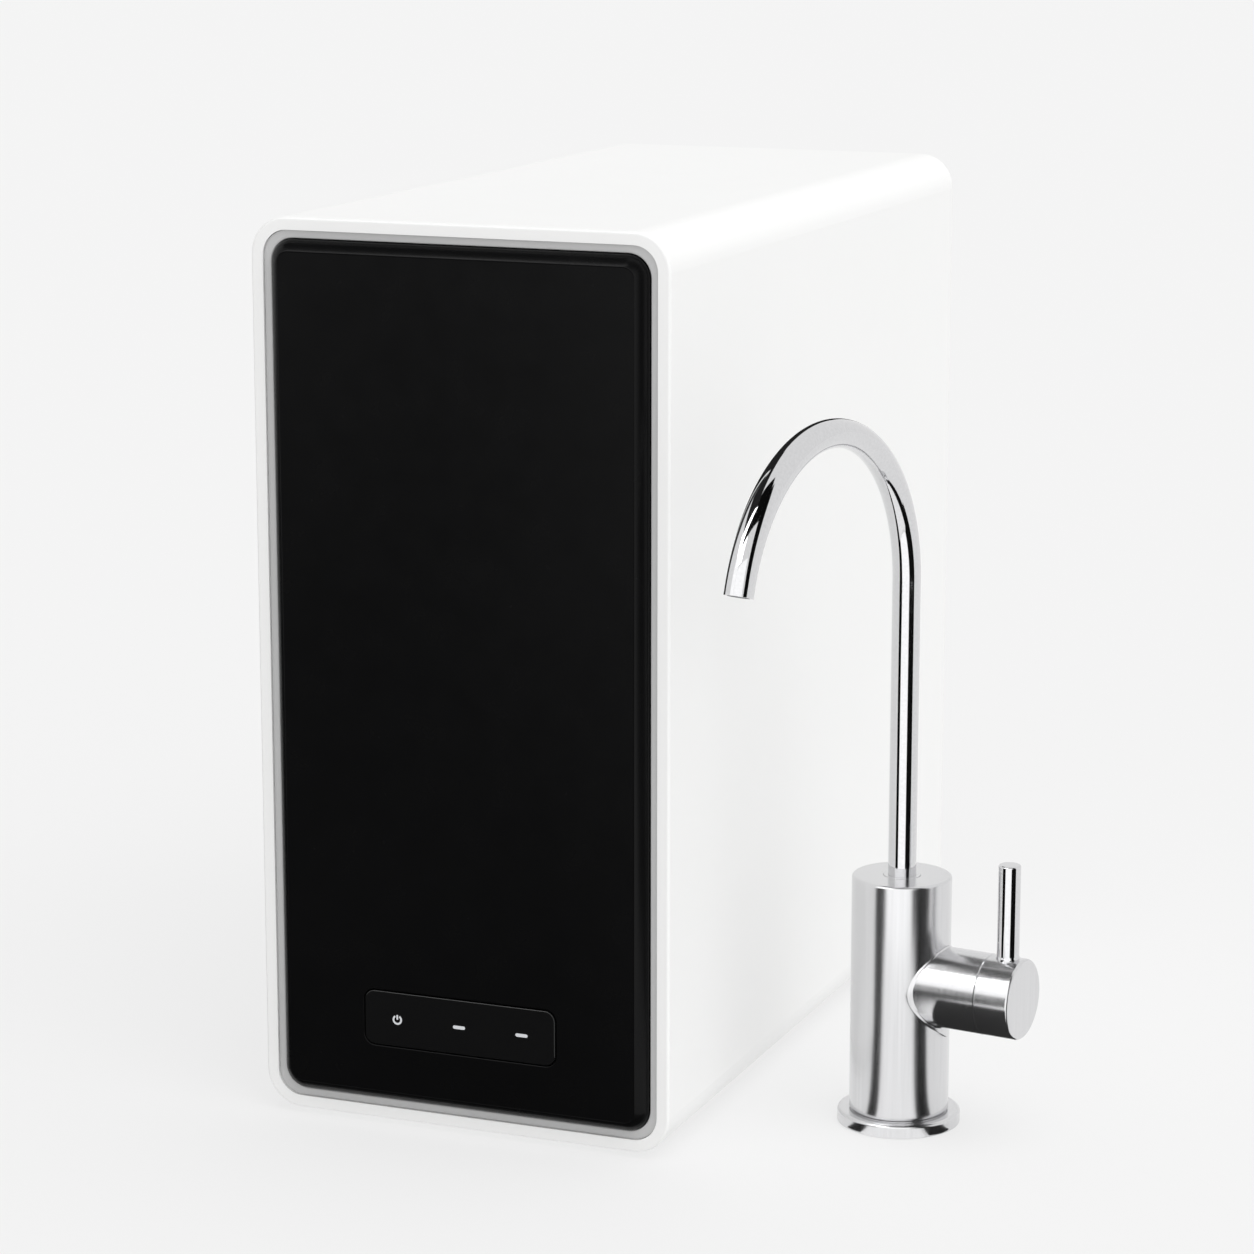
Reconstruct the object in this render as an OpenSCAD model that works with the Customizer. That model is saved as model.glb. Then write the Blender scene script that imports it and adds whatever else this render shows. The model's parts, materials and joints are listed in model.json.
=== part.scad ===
// Reverse osmosis system: a tankless housing with a pull-off front cover, two twist-in filters
// and a booster pump, and the goose-neck dispensing faucet that stands beside it.

/* [Housing] */
// Width of the housing
body_w = 184; // [180:1:200]
// Depth of the housing from front rim to rear edge
body_d = 375; // [366:1:400]
// Height of the housing without its feet
body_h = 380; // [376:1:410]
// Radius of the four long edges
corner_r = 16; // [14:0.5:22]
// Wall of the outer shell
shell_wall = 3; // [2.4:0.2:4]
// Softened outer edge at the front rim and at the rear
edge_r = 1.2; // [0.6:0.2:2]
// Width of the front rim
rim_w = 5.4; // [4.6:0.2:7]
// Depth of the front rim
rim_depth = 8; // [6:0.5:12]
// Height of a rubber foot
foot_h = 3; // [2.6:0.2:6]
// Radius of a rubber foot
foot_r = 9; // [8:0.5:12]
// Distance of the feet from the sides and from the front and back
foot_inset = 30; // [26:1:40]

/* [Front] */
// Width of the step between rim and cover
groove_w = 3.2; // [2.4:0.2:4.4]
// How far the step lies behind the rim
groove_depth = 1.2; // [0.8:0.2:3]
// How far the cover's face stands in front of the rim
cover_raise = 4.4; // [3:0.2:7]
// Width of the cover's bowed shoulder
shoulder_w = 4.5; // [3:0.25:6]
// Height of the cover's bowed shoulder
shoulder_rise = 5; // [3:0.25:6]
// Radius of the shoulder's bow
shoulder_bow = 10.3; // [8:0.1:20]
// Radius of the cover's corners
cover_r = 9.5; // [8:0.5:12]
// Wall of the front cover
cover_wall = 2.4; // [2:0.2:3]
// Gap round the front cover
cover_gap = 0.3; // [0.3:0.1:0.8]
// Depth of the bulkhead behind the rim
bulkhead_at = 14; // [12:0.5:20]
// Thickness of the bulkhead
bulkhead_t = 3; // [2:0.5:4]
// Radius of a stud that holds the cover
catch_r = 2.5; // [2:0.25:3.5]

/* [Controls] */
// Width of the control window
panel_w = 87.4; // [80:0.2:100]
// Height of the control window
panel_h = 24.5; // [21:0.5:30]
// Corner radius of the control window
panel_r = 5; // [3:0.5:8]
// Height of the control window's centre above the housing's underside
panel_up = 46; // [40:1:56]
// Gap round the lens
lens_gap = 0.5; // [0.3:0.1:1]
// Thickness of the lens
lens_t = 2.4; // [1.6:0.2:3.2]
// Distance between the symbols
icon_pitch = 28.3; // [24:0.1:32]
// Diameter of the power symbol
icon_d = 4.8; // [4:0.2:7]
// Stroke of the power symbol
icon_stroke = 0.8; // [0.6:0.1:1]
// Length of a filter light
light_w = 6.1; // [4:0.1:9]
// Height of a filter light
light_h = 1.7; // [1:0.1:3]

/* [Filters] */
// Diameter of a filter
filter_d = 112; // [104:1:114]
// Gap between the filters and the housing's left wall
filter_side = 13; // [12:0.5:15]
// Wall of a filter canister
filter_wall = 3; // [2:0.2:4]
// Gap round a filter where it passes the bulkhead
filter_clear = 0.6; // [0.4:0.1:1.5]
// Radius of a filter's neck
neck_r = 24; // [20:0.5:28]
// Reach of the bayonet lugs past the neck
lug_reach = 5; // [3:0.5:7]
// Length of the bayonet lugs
lug_len = 6; // [4:0.5:8]
// Angle that each lug spans
lug_angle = 50; // [30:5:70]
// Radius of a filter's nipple
nipple_r = 12; // [10:0.5:16]
// Length of a filter's nipple
nipple_len = 16; // [14:1:20]

/* [Pump] */
// Diameter of the pump motor
motor_d = 86; // [76:1:92]
// Length of the pump motor
motor_len = 105; // [90:1:120]
// Diameter of the pump head
head_d = 92; // [84:1:96]
// Length of the pump head
head_len = 66; // [56:1:74]
// Diameter of the motor shaft
shaft_d = 8; // [6:0.5:10]
// Depth of the pump behind the rim
pump_at = 62; // [56:1:70]
// Height of the rubber pump mounts
mount_h = 10; // [8:1:14]

/* [Ports] */
// Outer diameter of the water tubes
tube_d = 6.35; // [6:0.05:6.6]
// Outer radius of a port fitting
fitting_r = 9.5; // [9:0.25:12]
// Distance between the ports
port_pitch = 34; // [30:1:40]
// Travel of a release collet
collet_travel = 1.5; // [1:0.1:2.5]
// How far the rear panel lies inside the housing
rear_inset = 6; // [5:0.5:10]
// Thickness of the rear panel
rear_t = 2.5; // [2:0.25:4]

/* [Faucet] */
// Distance of the faucet to the right of the housing's centre
faucet_x = 162.5; // [156:0.5:220]
// Distance of the faucet behind the housing's rim
faucet_y = 88; // [70:0.5:120]
// Turn of the faucet about its own axis
faucet_turn = -8; // [-30:1:30]
// Diameter of the base flange
flange_d = 52; // [48:1:60]
// Height of the base flange
flange_h = 6; // [4:0.5:9]
// Diameter of the faucet body
post_d = 42; // [38:1:46]
// Height of the faucet body's top above the ground
post_top = 108; // [104:1:130]
// Height of the valve's axis above the ground
valve_up = 62; // [56:1:68]
// Diameter of the side arm and its cap
arm_d = 34; // [32:0.5:38]
// Distance from the faucet's axis to the seam of the cap
arm_reach = 41.2; // [40:0.2:48]
// Length of the handle cap
cap_len = 15; // [13:0.5:18]
// Diameter of the lever
lever_d = 9.4; // [7:0.2:10]
// Height of the lever's tip above the valve's axis
lever_up = 57; // [40:1:70]
// Outer diameter of the spout tube
spout_d = 11.8; // [10:0.2:14]
// Wall of the spout tube
spout_wall = 1.4; // [1:0.1:2]
// Straight rise of the spout above the faucet body
spout_rise = 126; // [100:1:160]
// Bend radius of the spout's arch
spout_bend = 70; // [60:1:80]
// Angle of the spout's arch
spout_sweep = 163; // [150:1:175]
// Straight end of the spout
spout_end = 4; // [2:0.5:10]
// Turn of the spout on the faucet body
spout_turn = -2; // [-20:1:20]

/* [Fits] */
// Clearance between fixed pieces that slip together
slip = 0.2; // [0.1:0.05:0.4]
// Clearance between turning or sliding pieces
running = 0.06; // [0.03:0.01:0.1]
// Gap between moving faces that do not bear on each other
free_gap = 0.4; // [0.3:0.1:0.8]

/* [Hidden] */
$fn = 72;
join = 0.5;
white = "#f2f3f4";
black = "#17181a";
grey = "#b9bcbf";
steel = "#c9ccd0";

// heights in the housing
base_z = foot_h;
mid_z = foot_h + body_h/2;
floor_z = base_z + shell_wall;
chassis_t = 3;
deck_z = floor_z + chassis_t;
roof_z = base_z + body_h - shell_wall;

// front frame and cover
frame_w = body_w - 2*(rim_w + slip);
frame_h = body_h - 2*(rim_w + slip);
frame_r = corner_r - rim_w - slip;
frame_back = bulkhead_at + bulkhead_t;
cover_w = frame_w - 2*(groove_w + cover_gap);
cover_h = frame_h - 2*(groove_w + cover_gap);
open_w = cover_w + 2*cover_gap;
open_h = cover_h + 2*cover_gap;
open_r = cover_r + cover_gap;
open_edge = 0.6;
cover_edge = shoulder_rise - cover_raise;
plate_r = 0.8*(cover_r - shoulder_w);
filter_front = 5;
skirt_back = filter_front - free_gap;
grommet_r = catch_r + 1.8;
grommet_lip = 2;
boss_r = catch_r + 1.5;
boss_back = skirt_back - 0.6;
shank_r = 1.4;
shank_len = 4;
stud_flange_t = 1.2;
stud_back = frame_back + 2.4;
frame_screw_x = cover_w/2 - 7;
frame_screws = [for (x = [-1, 1], z = [foot_h + 20, mid_z + 52]) [x*frame_screw_x, z]];

// control panel
panel_z = foot_h + panel_up;
lens_front = -cover_raise;
lens_back = lens_front + lens_t;
pod_wall = 1.8;
pod_floor = 2;
board_t = 1.6;
board_back = bulkhead_at - pod_floor - 4;
led_t = 1;
guide_back = board_back - board_t - led_t - 0.3;
icon_xs = [-icon_pitch, 0, icon_pitch];

// rear
rear_at = body_d - rear_inset - rear_t;
ledge_t = 4;
ledge_w = 11;
chassis_wall = 3;
chassis_front = frame_back + 16;
chassis_back = rear_at - 28;
chassis_right = body_w/2 - shell_wall - 2.5;
side_wall = 2.5;

// pump, low in the housing
motor_r = motor_d/2;
head_r = head_d/2;
bracket_t = 2.5;
saddle_t = 4;
pump_z = deck_z + mount_h + bracket_t + saddle_t + head_r;
pump_top = pump_z + max(motor_r, head_r);
motor_wall = 2;
motor_end = pump_at + motor_len;
head_end = motor_end + head_len;
bearing_r = shaft_d/2 + 5;
bearing_w = 7;

// filters above the pump, evenly spaced up to the roof
filter_r = filter_d/2;
filter_gap = (roof_z - pump_top - 2*filter_d)/3;
filter_x = -body_w/2 + shell_wall + filter_side + filter_r;
membrane_z = pump_top + filter_gap + filter_r;
composite_z = membrane_z + filter_d + filter_gap;
filter_zs = [membrane_z, composite_z];
cap_len_y = 18;
manifold_t = 18;
manifold_front = chassis_back - manifold_t;
neck_len = 24;
collar_front = manifold_front - neck_len;
filter_shoulder = collar_front - 6;
lug_at = collar_front + 7;
collar_r = neck_r + lug_reach + 8;
opening_r = filter_r + filter_clear;

// studs of the front cover, clear of the collars round the filter openings
opening_lip = 2.5;
stud_side = 11;
stud_clear = 1;
stud_x = cover_w/2 - stud_side;
stud_reach = opening_r + opening_lip + grommet_r + grommet_lip + stud_clear;
stud_up = sqrt(pow(stud_reach, 2) - pow(stud_x + filter_x, 2));
stud_zs = [membrane_z - filter_r - 5, composite_z + stud_up];
studs = [for (x = [-1, 1], z = stud_zs) [x*stud_x, z]];

// strip to the right of the filters for valves, switch, hoses and board
pump_x = filter_x - 4;
strip_x = (filter_x + filter_r + chassis_right)/2;
hose_r = 5;
hose_bore = 3.2;
hose_step = 0.1;
barb_r = hose_bore - 2*hose_step;
barb_len = 12;
hose_y = motor_end + 30;
hose_zs = [pump_z - 16, pump_z + 16];
hose_bend = 16;
hose_start = pump_x + head_r + 5;
hose_corner = strip_x - hose_bend;
valve_zs = [membrane_z + 6, membrane_z + 66];
switch_z = composite_z + 24;
valve_w = 30;

// ports on the rear
tube_r = tube_d/2;
stop_bore = tube_r + 0.12;
collet_bore = stop_bore + 0.1;
seal_bore = stop_bore + 0.3;
collet_r = collet_bore + 1.6;
collet_flange_r = collet_r + 2.2;
port_xs = [for (i = [-1, 0, 1]) filter_x + 10 + i*port_pitch];
port_z = (membrane_z + composite_z)/2;
fitting_end = rear_at + rear_t + 0.5;
fitting_spigot = 8;
seal_t = 2.4;
stop_len = 5;
collet_len = 11;
tube_stop = fitting_end - collet_len - seal_t - stop_len;
inlet_x = filter_x - 20;
inlet_z = pump_z;
inlet_r = 2.75;

// faucet
flange_r = flange_d/2;
post_r = post_d/2;
arm_r = arm_d/2;
gasket_t = 1.6;
flange_lift = 0.4;
spigot_r = 13;
socket_r = 5.5;
socket_len = 16;
arm_spigot_r = 12;
arm_spigot_at = 6;
cartridge_r = 9.5;
cartridge_end = arm_reach - 4;
disc_r = 7;
disc_t = 3.5;
disc_at = arm_spigot_at + 4;
stem_r = 3.5;
cap_at = arm_reach + free_gap;
cap_end = cap_at + cap_len;
lever_x = cap_at + cap_len/2;
lever_r = lever_d/2;
lever_seat = sqrt(arm_r*arm_r - lever_r*lever_r) - 0.8;
stud_r = lever_r - 1.7;
stud_len = 6;
spout_r = spout_d/2;
spout_bore = spout_r - spout_wall;
spout_foot = post_top - 26;
bush_len = 10;
bush_r = spout_r + 1.8;
spout_top = post_top + spout_rise;
nozzle_len = 6;
tip_step = 0.1;
tip_bore = spout_bore + 0.4;

// the set stands centred on its own outline, housing left and faucet right
spout_reach = spout_bend - (spout_bend + spout_r)*cos(spout_sweep) + spout_end*sin(spout_sweep);
set_left = -body_w/2;
set_right = faucet_x + cap_end*cos(faucet_turn) - arm_r*sin(faucet_turn);
set_front = faucet_y - spout_reach*cos(faucet_turn + spout_turn);
set_shift = [-(set_left + set_right)/2, -(set_front + body_d)/2, 0];

// Places of the two standing pieces of the set
module housing() {
    translate(set_shift) children();
}

module faucet() {
    translate(set_shift + [faucet_x, faucet_y, 0]) rotate(faucet_turn) children();
}

module on_valve_axis() {
    faucet() translate([0, 0, valve_up]) rotate([0, 90, 0]) children();
}

module on_spout_turn() {
    faucet() rotate(spout_turn) children();
}

// Outline helpers
module rounded_rect(w, h, r) {
    square([w - 2*r, h], center = true);
    square([w, h - 2*r], center = true);
    for (x = [-1, 1], y = [-1, 1]) {
        translate([x*(w/2 - r), y*(h/2 - r)]) circle(r);
    }
}

module outer_fillet(r) {
    difference() {
        square(r + 1);
        circle(r);
    }
}

// An outline drawn as seen from the front, from depth y0 to depth y1
module slab(y0, y1) {
    translate([0, y1, 0]) rotate([90, 0, 0]) linear_extrude(y1 - y0) children();
}

// A profile of outward distance and depth, swept round a rounded rectangle
module swept_ring(w, h, r) {
    rotate([-90, 0, 0]) {
        for (s = [0, 180]) {
            rotate(s) translate([w/2 - r, 0, 0])
                rotate([90, 0, 0]) linear_extrude(h - 2*r, center = true) children();
            rotate(s) translate([0, h/2 - r, 0])
                rotate([90, 0, 90]) linear_extrude(w - 2*r, center = true) children();
            rotate(s) translate([w/2 - r, h/2 - r, 0])
                rotate_extrude(angle = 90) children();
            rotate(s) translate([r - w/2, h/2 - r, 0])
                rotate(90) rotate_extrude(angle = 90) children();
        }
    }
}

// A round bar along the depth
module rod(y0, y1, r) {
    translate([0, y0, 0]) rotate([-90, 0, 0]) cylinder(r = r, h = y1 - y0);
}

module ring_rod(y0, y1, r, bore) {
    difference() {
        rod(y0, y1, r);
        rod(y0 - 1, y1 + 1, bore);
    }
}

// A profile of radius and depth turned about the depth axis
module turned() {
    rotate([-90, 0, 0]) rotate_extrude() children();
}

// A screw whose head lies at the origin and whose shank runs along +Y
screw_head_r = 3.2;
screw_head_t = 1.4;
screw_r = 1.5;
module screw(len) {
    rod(-screw_head_t, 0, screw_head_r);
    rod(-join, len, screw_r);
}

// Housing shell
screw_boss = 14;
module shell_profile() {
    difference() {
        union() {
            translate([corner_r - shell_wall, 0]) square([shell_wall, body_d]);
            translate([corner_r - rim_w, 0]) square([rim_w, rim_depth]);
            translate([corner_r - ledge_w, rear_at - ledge_t]) square([ledge_w - join, ledge_t]);
        }
        translate([corner_r - edge_r, edge_r]) mirror([0, 1]) outer_fillet(edge_r);
        translate([corner_r - edge_r, body_d - edge_r]) outer_fillet(edge_r);
    }
}

feet_at = [for (x = [-1, 1], y = [foot_inset, body_d - foot_inset]) [x*(body_w/2 - foot_inset), y, 0]];
rear_screws = [for (x = [-1, 1], z = [-1, 0, 1])
    [x*(body_w/2 - (shell_wall + ledge_w)/2), mid_z + z*(body_h/2 - corner_r - 14)]];

module outer_shell() color(white) housing() {
    boss_out = body_w/2 - shell_wall + join;
    boss_in = frame_screw_x - screw_boss/2;
    difference() {
        union() {
            translate([0, 0, mid_z]) swept_ring(body_w, body_h, corner_r) shell_profile();
            for (p = frame_screws) {
                side = p[0] > 0 ? boss_in : -boss_out;
                translate([side, frame_back, p[1] - screw_boss/2])
                    cube([boss_out - boss_in, screw_boss, screw_boss]);
            }
        }
        for (p = frame_screws) {
            translate([p[0], 0, p[1]]) rod(frame_back - 1, frame_back + screw_boss - 3, screw_r + running);
        }
        for (p = rear_screws) {
            translate([p[0], 0, p[1]]) rod(rear_at - ledge_t - 1, rear_at + 1, screw_r + running);
        }
        for (p = feet_at) {
            translate(p) cylinder(r = screw_r + running, h = floor_z + 1);
        }
    }
}

// Front frame with the bulkhead that the filters pass
module frame_tray() {
    difference() {
        slab(groove_depth, frame_back) rounded_rect(frame_w, frame_h, frame_r);
        slab(groove_depth - 1, bulkhead_at) rounded_rect(open_w, open_h, open_r);
        swept_ring(open_w, open_h, open_r) {
            translate([open_r + open_edge, groove_depth + open_edge]) rotate(180) outer_fillet(open_edge);
        }
    }
}

module front_frame() color(grey) housing() {
    difference() {
        union() {
            translate([0, 0, mid_z]) frame_tray();
            for (z = filter_zs) {
                translate([filter_x, 0, z]) rod(bulkhead_at - 4, frame_back, opening_r + opening_lip);
            }
        }
        for (z = filter_zs) {
            translate([filter_x, 0, z]) rod(bulkhead_at - 10, frame_back + 1, opening_r);
        }
        for (p = frame_screws) {
            translate([p[0], 0, p[1]]) rod(bulkhead_at - 1, frame_back + 1, screw_r + slip);
        }
        for (p = studs) {
            translate([p[0], 0, p[1]]) rod(bulkhead_at - 1, frame_back + 1, grommet_r + running);
        }
        slab(bulkhead_at - 1, frame_back + 1) translate([0, panel_z]) square([12, 6], center = true);
    }
}

// Pillowed front cover
module cover_section(wall) {
    bow = shoulder_bow - wall;
    chord = sqrt(shoulder_w*shoulder_w + shoulder_rise*shoulder_rise);
    drop = sqrt(shoulder_bow*shoulder_bow - chord*chord/4)/chord;
    middle = [cover_r - shoulder_w/2, cover_edge - shoulder_rise/2];
    centre = middle + drop*[-shoulder_rise, shoulder_w];
    intersection() {
        translate([0, wall - cover_raise]) square([cover_r - wall, cover_raise + skirt_back]);
        union() {
            translate(centre) circle(bow);
            translate([0, cover_edge + wall + join]) square([cover_r, skirt_back]);
        }
    }
}

module cover_profile() {
    difference() {
        intersection() {
            cover_section(0);
            translate([plate_r/2, -cover_raise]) square([cover_r, cover_raise + skirt_back]);
        }
        cover_section(cover_wall);
    }
}

module front_cover() color(black) housing() {
    inner = cover_wall - cover_raise;
    rib_w = cover_w - 2*(shoulder_w + cover_wall);
    difference() {
        union() {
            translate([0, 0, mid_z]) swept_ring(cover_w, cover_h, cover_r) cover_profile();
            slab(-cover_raise, inner) translate([0, mid_z])
                rounded_rect(cover_w - 2*(cover_r - plate_r), cover_h - 2*(cover_r - plate_r), plate_r);
            for (p = studs) {
                translate([p[0], 0, p[1]]) rod(inner - join, boss_back, boss_r);
            }
            for (z = [panel_z + panel_h/2 + 20, port_z, roof_z - 40]) {
                translate([-rib_w/2, inner - join, z]) cube([rib_w, 4, 2]);
            }
        }
        for (p = studs) {
            translate([p[0], 0, p[1]]) rod(boss_back - shank_len - slip, boss_back + 1, shank_r + running);
        }
        slab(-cover_raise - 1, inner + 1) translate([0, panel_z]) rounded_rect(panel_w, panel_h, panel_r);
    }
}

// Studs pressed into the cover's bosses, and the rubber grommets that grip them
module stud_profile() {
    neck_at = boss_back + stud_flange_t;
    polygon([[0, boss_back - shank_len], [shank_r, boss_back - shank_len], [shank_r, boss_back],
        [boss_r, boss_back], [boss_r, neck_at], [catch_r, neck_at], [catch_r, stud_back - 1.2],
        [catch_r - 1.2, stud_back], [0, stud_back]]);
}

module cover_studs() color(steel) housing() {
    for (p = studs) {
        translate([p[0], 0, p[1]]) turned() stud_profile();
    }
}

module cover_grommets() color(black) housing() {
    for (p = studs) {
        translate([p[0], 0, p[1]]) difference() {
            union() {
                rod(bulkhead_at - 1.5, bulkhead_at, grommet_r + grommet_lip);
                rod(bulkhead_at - 1, frame_back + 1, grommet_r);
            }
            rod(bulkhead_at - 3, frame_back + 3, catch_r + running);
        }
    }
}

// Control panel behind the cover's window
module power_symbol(grow) {
    out = icon_d/2 + grow;
    difference() {
        circle(out);
        circle(icon_d/2 - icon_stroke - grow);
        translate([-1.5*icon_stroke + grow, 0]) square([3*icon_stroke - 2*grow, out + 1]);
    }
    translate([-icon_stroke/2 - grow, -grow]) square([icon_stroke + 2*grow, icon_d/2 + 2*grow]);
}

module light_bar(grow) {
    rounded_rect(light_w + 2*grow, light_h + 2*grow, light_h/2 + grow - 0.01);
}

module lens_outline(inset) {
    w = panel_w - 2*(lens_gap + inset);
    h = panel_h - 2*(lens_gap + inset);
    rounded_rect(w, h, max(0.5, panel_r - lens_gap - inset));
}

module control_lens() color(black) housing() {
    slab(lens_front, lens_back) translate([0, panel_z]) difference() {
        lens_outline(0);
        translate([icon_xs[0], 0]) power_symbol(0.05);
        translate([icon_xs[1], 0]) light_bar(0.05);
        translate([icon_xs[2], 0]) light_bar(0.05);
    }
}

module control_housing() color(black) housing() {
    translate([0, 0, panel_z]) difference() {
        slab(lens_back, bulkhead_at) lens_outline(0);
        slab(lens_back - 1, board_back) lens_outline(pod_wall);
        slab(board_back - 1, bulkhead_at - pod_floor) lens_outline(pod_wall + 2);
        slab(board_back, bulkhead_at + 1) square([10, 5], center = true);
    }
}

module control_board() color("#1f5a3a") housing() {
    translate([0, 0, panel_z]) {
        slab(board_back - board_t, board_back) lens_outline(pod_wall + slip);
        for (x = icon_xs) {
            translate([x, 0, 0]) slab(board_back - board_t - led_t, board_back - board_t + join/2)
                square([3, 1.6], center = true);
        }
    }
}

module power_light() color("white") housing() {
    slab(lens_front, guide_back) translate([icon_xs[0], panel_z]) power_symbol(0);
}

module filter_lights() color("white") housing() {
    for (i = [1, 2]) {
        slab(lens_front, guide_back) translate([icon_xs[i], panel_z]) light_bar(0);
    }
}

// Rear panel with ports, power inlet and louvre
vent_w = 34;
vent_h = 3;
module rear_panel() color(white) housing() {
    slab(rear_at, rear_at + rear_t) difference() {
        translate([0, mid_z]) shell_room(slip);
        for (x = port_xs) {
            translate([x, port_z]) circle(fitting_r + slip);
        }
        translate([inlet_x, inlet_z]) circle(inlet_r + 2.5 + slip);
        for (p = rear_screws) {
            translate(p) circle(screw_r + slip);
        }
        for (i = [-3:3]) {
            translate([strip_x - 10, pump_z + i*2.4*vent_h]) square([vent_w, vent_h], center = true);
        }
    }
}

module case_screws() color(steel) housing() {
    for (p = frame_screws) {
        translate([p[0], bulkhead_at, p[1]]) screw(bulkhead_t + 8);
    }
    for (p = rear_screws) {
        translate([p[0], rear_at + rear_t, p[1]]) rotate(180) screw(rear_t + ledge_t - 0.5);
    }
    for (p = feet_at) {
        translate(p + [0, 0, screw_head_t + 0.5]) rotate([90, 0, 0]) screw(deck_z - screw_head_t - 1);
    }
    for (p = manifold_screws) {
        translate([p[0], manifold_front, p[1]]) screw(manifold_t + chassis_wall + 2);
    }
}

module feet() color("#3a3c3f") housing() {
    for (p = feet_at) {
        translate(p) difference() {
            cylinder(r = foot_r, h = foot_h);
            translate([0, 0, -1]) cylinder(r = screw_head_r + slip, h = screw_head_t + 1.5);
            cylinder(r = screw_r + running, h = foot_h + 1);
        }
    }
}

// Chassis: floor, right wall and rear wall in one moulding
chassis_left = slip - body_w/2 + shell_wall + 2;
manifold_left = filter_x - collar_r - 4;
manifold_right = chassis_right - side_wall - slip;
manifold_top = composite_z + collar_r + 4;
manifold_low = membrane_z - collar_r - 4;
manifold_foot = hose_zs[0] - 14;
manifold_screws = [[manifold_left + 7, manifold_top - 7], [manifold_left + 7, manifold_low + 7],
    [manifold_right - 7, manifold_top - 7], [manifold_right - 7, manifold_foot + 7]];

module chassis_walls() {
    depth = chassis_back + chassis_wall - chassis_front;
    width = chassis_right - chassis_left;
    tall = manifold_top - floor_z;
    translate([chassis_left, chassis_front, floor_z]) cube([width, depth, chassis_t]);
    translate([chassis_right - side_wall, chassis_front + 20, floor_z]) cube([side_wall, depth - 20, tall]);
    translate([chassis_left, chassis_back, floor_z]) cube([width, chassis_wall, tall]);
    for (x = [manifold_left, filter_x + 30]) {
        translate([x, chassis_back + join, deck_z - join]) rotate([90, 0, -90])
            linear_extrude(3) polygon([[0, 0], [50, 0], [0, 60]]);
    }
    for (y = [board_y0 + 8, board_y1 - 8], z = [board_z0 + 8, board_z1 - 8]) {
        translate([board_x, y, z]) rotate([0, 90, 0]) cylinder(r = 3, h = standoff + join);
    }
}

module shell_room(gap) {
    rounded_rect(body_w - 2*(shell_wall + gap), body_h - 2*(shell_wall + gap), corner_r - shell_wall - gap);
}

module chassis() color("#d9dbdd") housing() {
    difference() {
        intersection() {
            chassis_walls();
            slab(0, body_d) translate([0, mid_z]) shell_room(slip);
        }
        for (p = feet_at) {
            translate(p) cylinder(r = screw_r + running, h = deck_z + 1);
        }
        for (x = port_xs) {
            translate([x, 0, port_z])
                rod(chassis_back - 1, chassis_back + chassis_wall + 1, fitting_r + slip);
        }
        for (p = manifold_screws) {
            translate([p[0], 0, p[1]])
                rod(chassis_back - 1, chassis_back + chassis_wall + 1, screw_r + running);
        }
    }
}

// Water manifold with two bayonet sockets
lug_gap = 0.5;
module bayonet_collar() {
    difference() {
        rod(collar_front, manifold_front + join, collar_r);
        rod(collar_front - 1, manifold_front + join + 1, neck_r + free_gap);
        rod(lug_at - lug_gap, lug_at + lug_len + lug_gap, neck_r + lug_reach + free_gap);
        for (a = [90, 270]) {
            rotate([0, a, 0])
                lug_sector(collar_front - 1, lug_at, neck_r + lug_reach + 2*free_gap, lug_angle + 6);
        }
    }
}

// A sector of a disc that points up, from depth y0 to depth y1
module lug_sector(y0, y1, r, angle) {
    slab(y0, y1) intersection() {
        circle(r);
        polygon([[0, 0], 2*r*[-sin(angle/2), cos(angle/2)], 2*r*[sin(angle/2), cos(angle/2)]]);
    }
}

module manifold_outline() {
    translate([manifold_left, manifold_low])
        square([manifold_right - manifold_left, manifold_top - manifold_low]);
    translate([strip_x - 15, manifold_foot])
        square([manifold_right - strip_x + 15, manifold_top - manifold_foot]);
}

module manifold() color("#e8e6df") housing() {
    difference() {
        union() {
            slab(manifold_front, chassis_back) manifold_outline();
            for (z = filter_zs) {
                translate([filter_x, 0, z]) bayonet_collar();
            }
            for (z = hose_zs) {
                translate([strip_x, 0, z]) rod(manifold_front - barb_len, manifold_front + join, barb_r);
            }
        }
        for (z = filter_zs) {
            translate([filter_x, 0, z])
                rod(manifold_front - 1, manifold_front + nipple_len - 4, nipple_r + running);
        }
        for (z = hose_zs) {
            translate([strip_x, 0, z])
                rod(manifold_front - barb_len - 1, manifold_front + 6, barb_r - 1.2);
        }
        for (x = port_xs) {
            translate([x, 0, port_z])
                rod(chassis_back - fitting_spigot, chassis_back + 1, fitting_r - 3 + running);
        }
        for (z = concat(valve_zs, switch_z)) {
            translate([strip_x, 0, z]) rod(manifold_front - 1, manifold_front + 6, 7 + running);
        }
        for (p = manifold_screws) {
            translate([p[0], 0, p[1]]) rod(manifold_front - 1, chassis_back + 1, screw_r + slip);
        }
    }
}

// Twist-in filters
can_r = filter_r - 1.5;
media_front = filter_front + cap_len_y;
media_back = filter_shoulder - 16;
media_r = can_r - filter_wall - free_gap;
seal_groove = 1.6;
nipple_back = manifold_front + nipple_len - 5;
seal_ys = [nipple_back - 4, nipple_back - 8];
module canister_profile() {
    difference() {
        union() {
            translate([0, media_front]) square([can_r, filter_shoulder - media_front - 12]);
            translate([0, filter_shoulder - 24]) square([can_r - 12, 24]);
            translate([can_r - 12, filter_shoulder - 12]) circle(12);
            translate([0, filter_shoulder - join])
                square([neck_r, manifold_front - 3 - filter_shoulder + join]);
            translate([0, manifold_front - 4]) square([nipple_r, nipple_back - manifold_front + 4]);
        }
        translate([-1, filter_front]) square([can_r - filter_wall + 1, media_back - filter_front]);
        translate([-1, filter_front]) square([5, body_d]);
        for (y = seal_ys) {
            translate([nipple_r - seal_groove, y]) square([seal_groove + 1, seal_t]);
        }
    }
}

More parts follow.
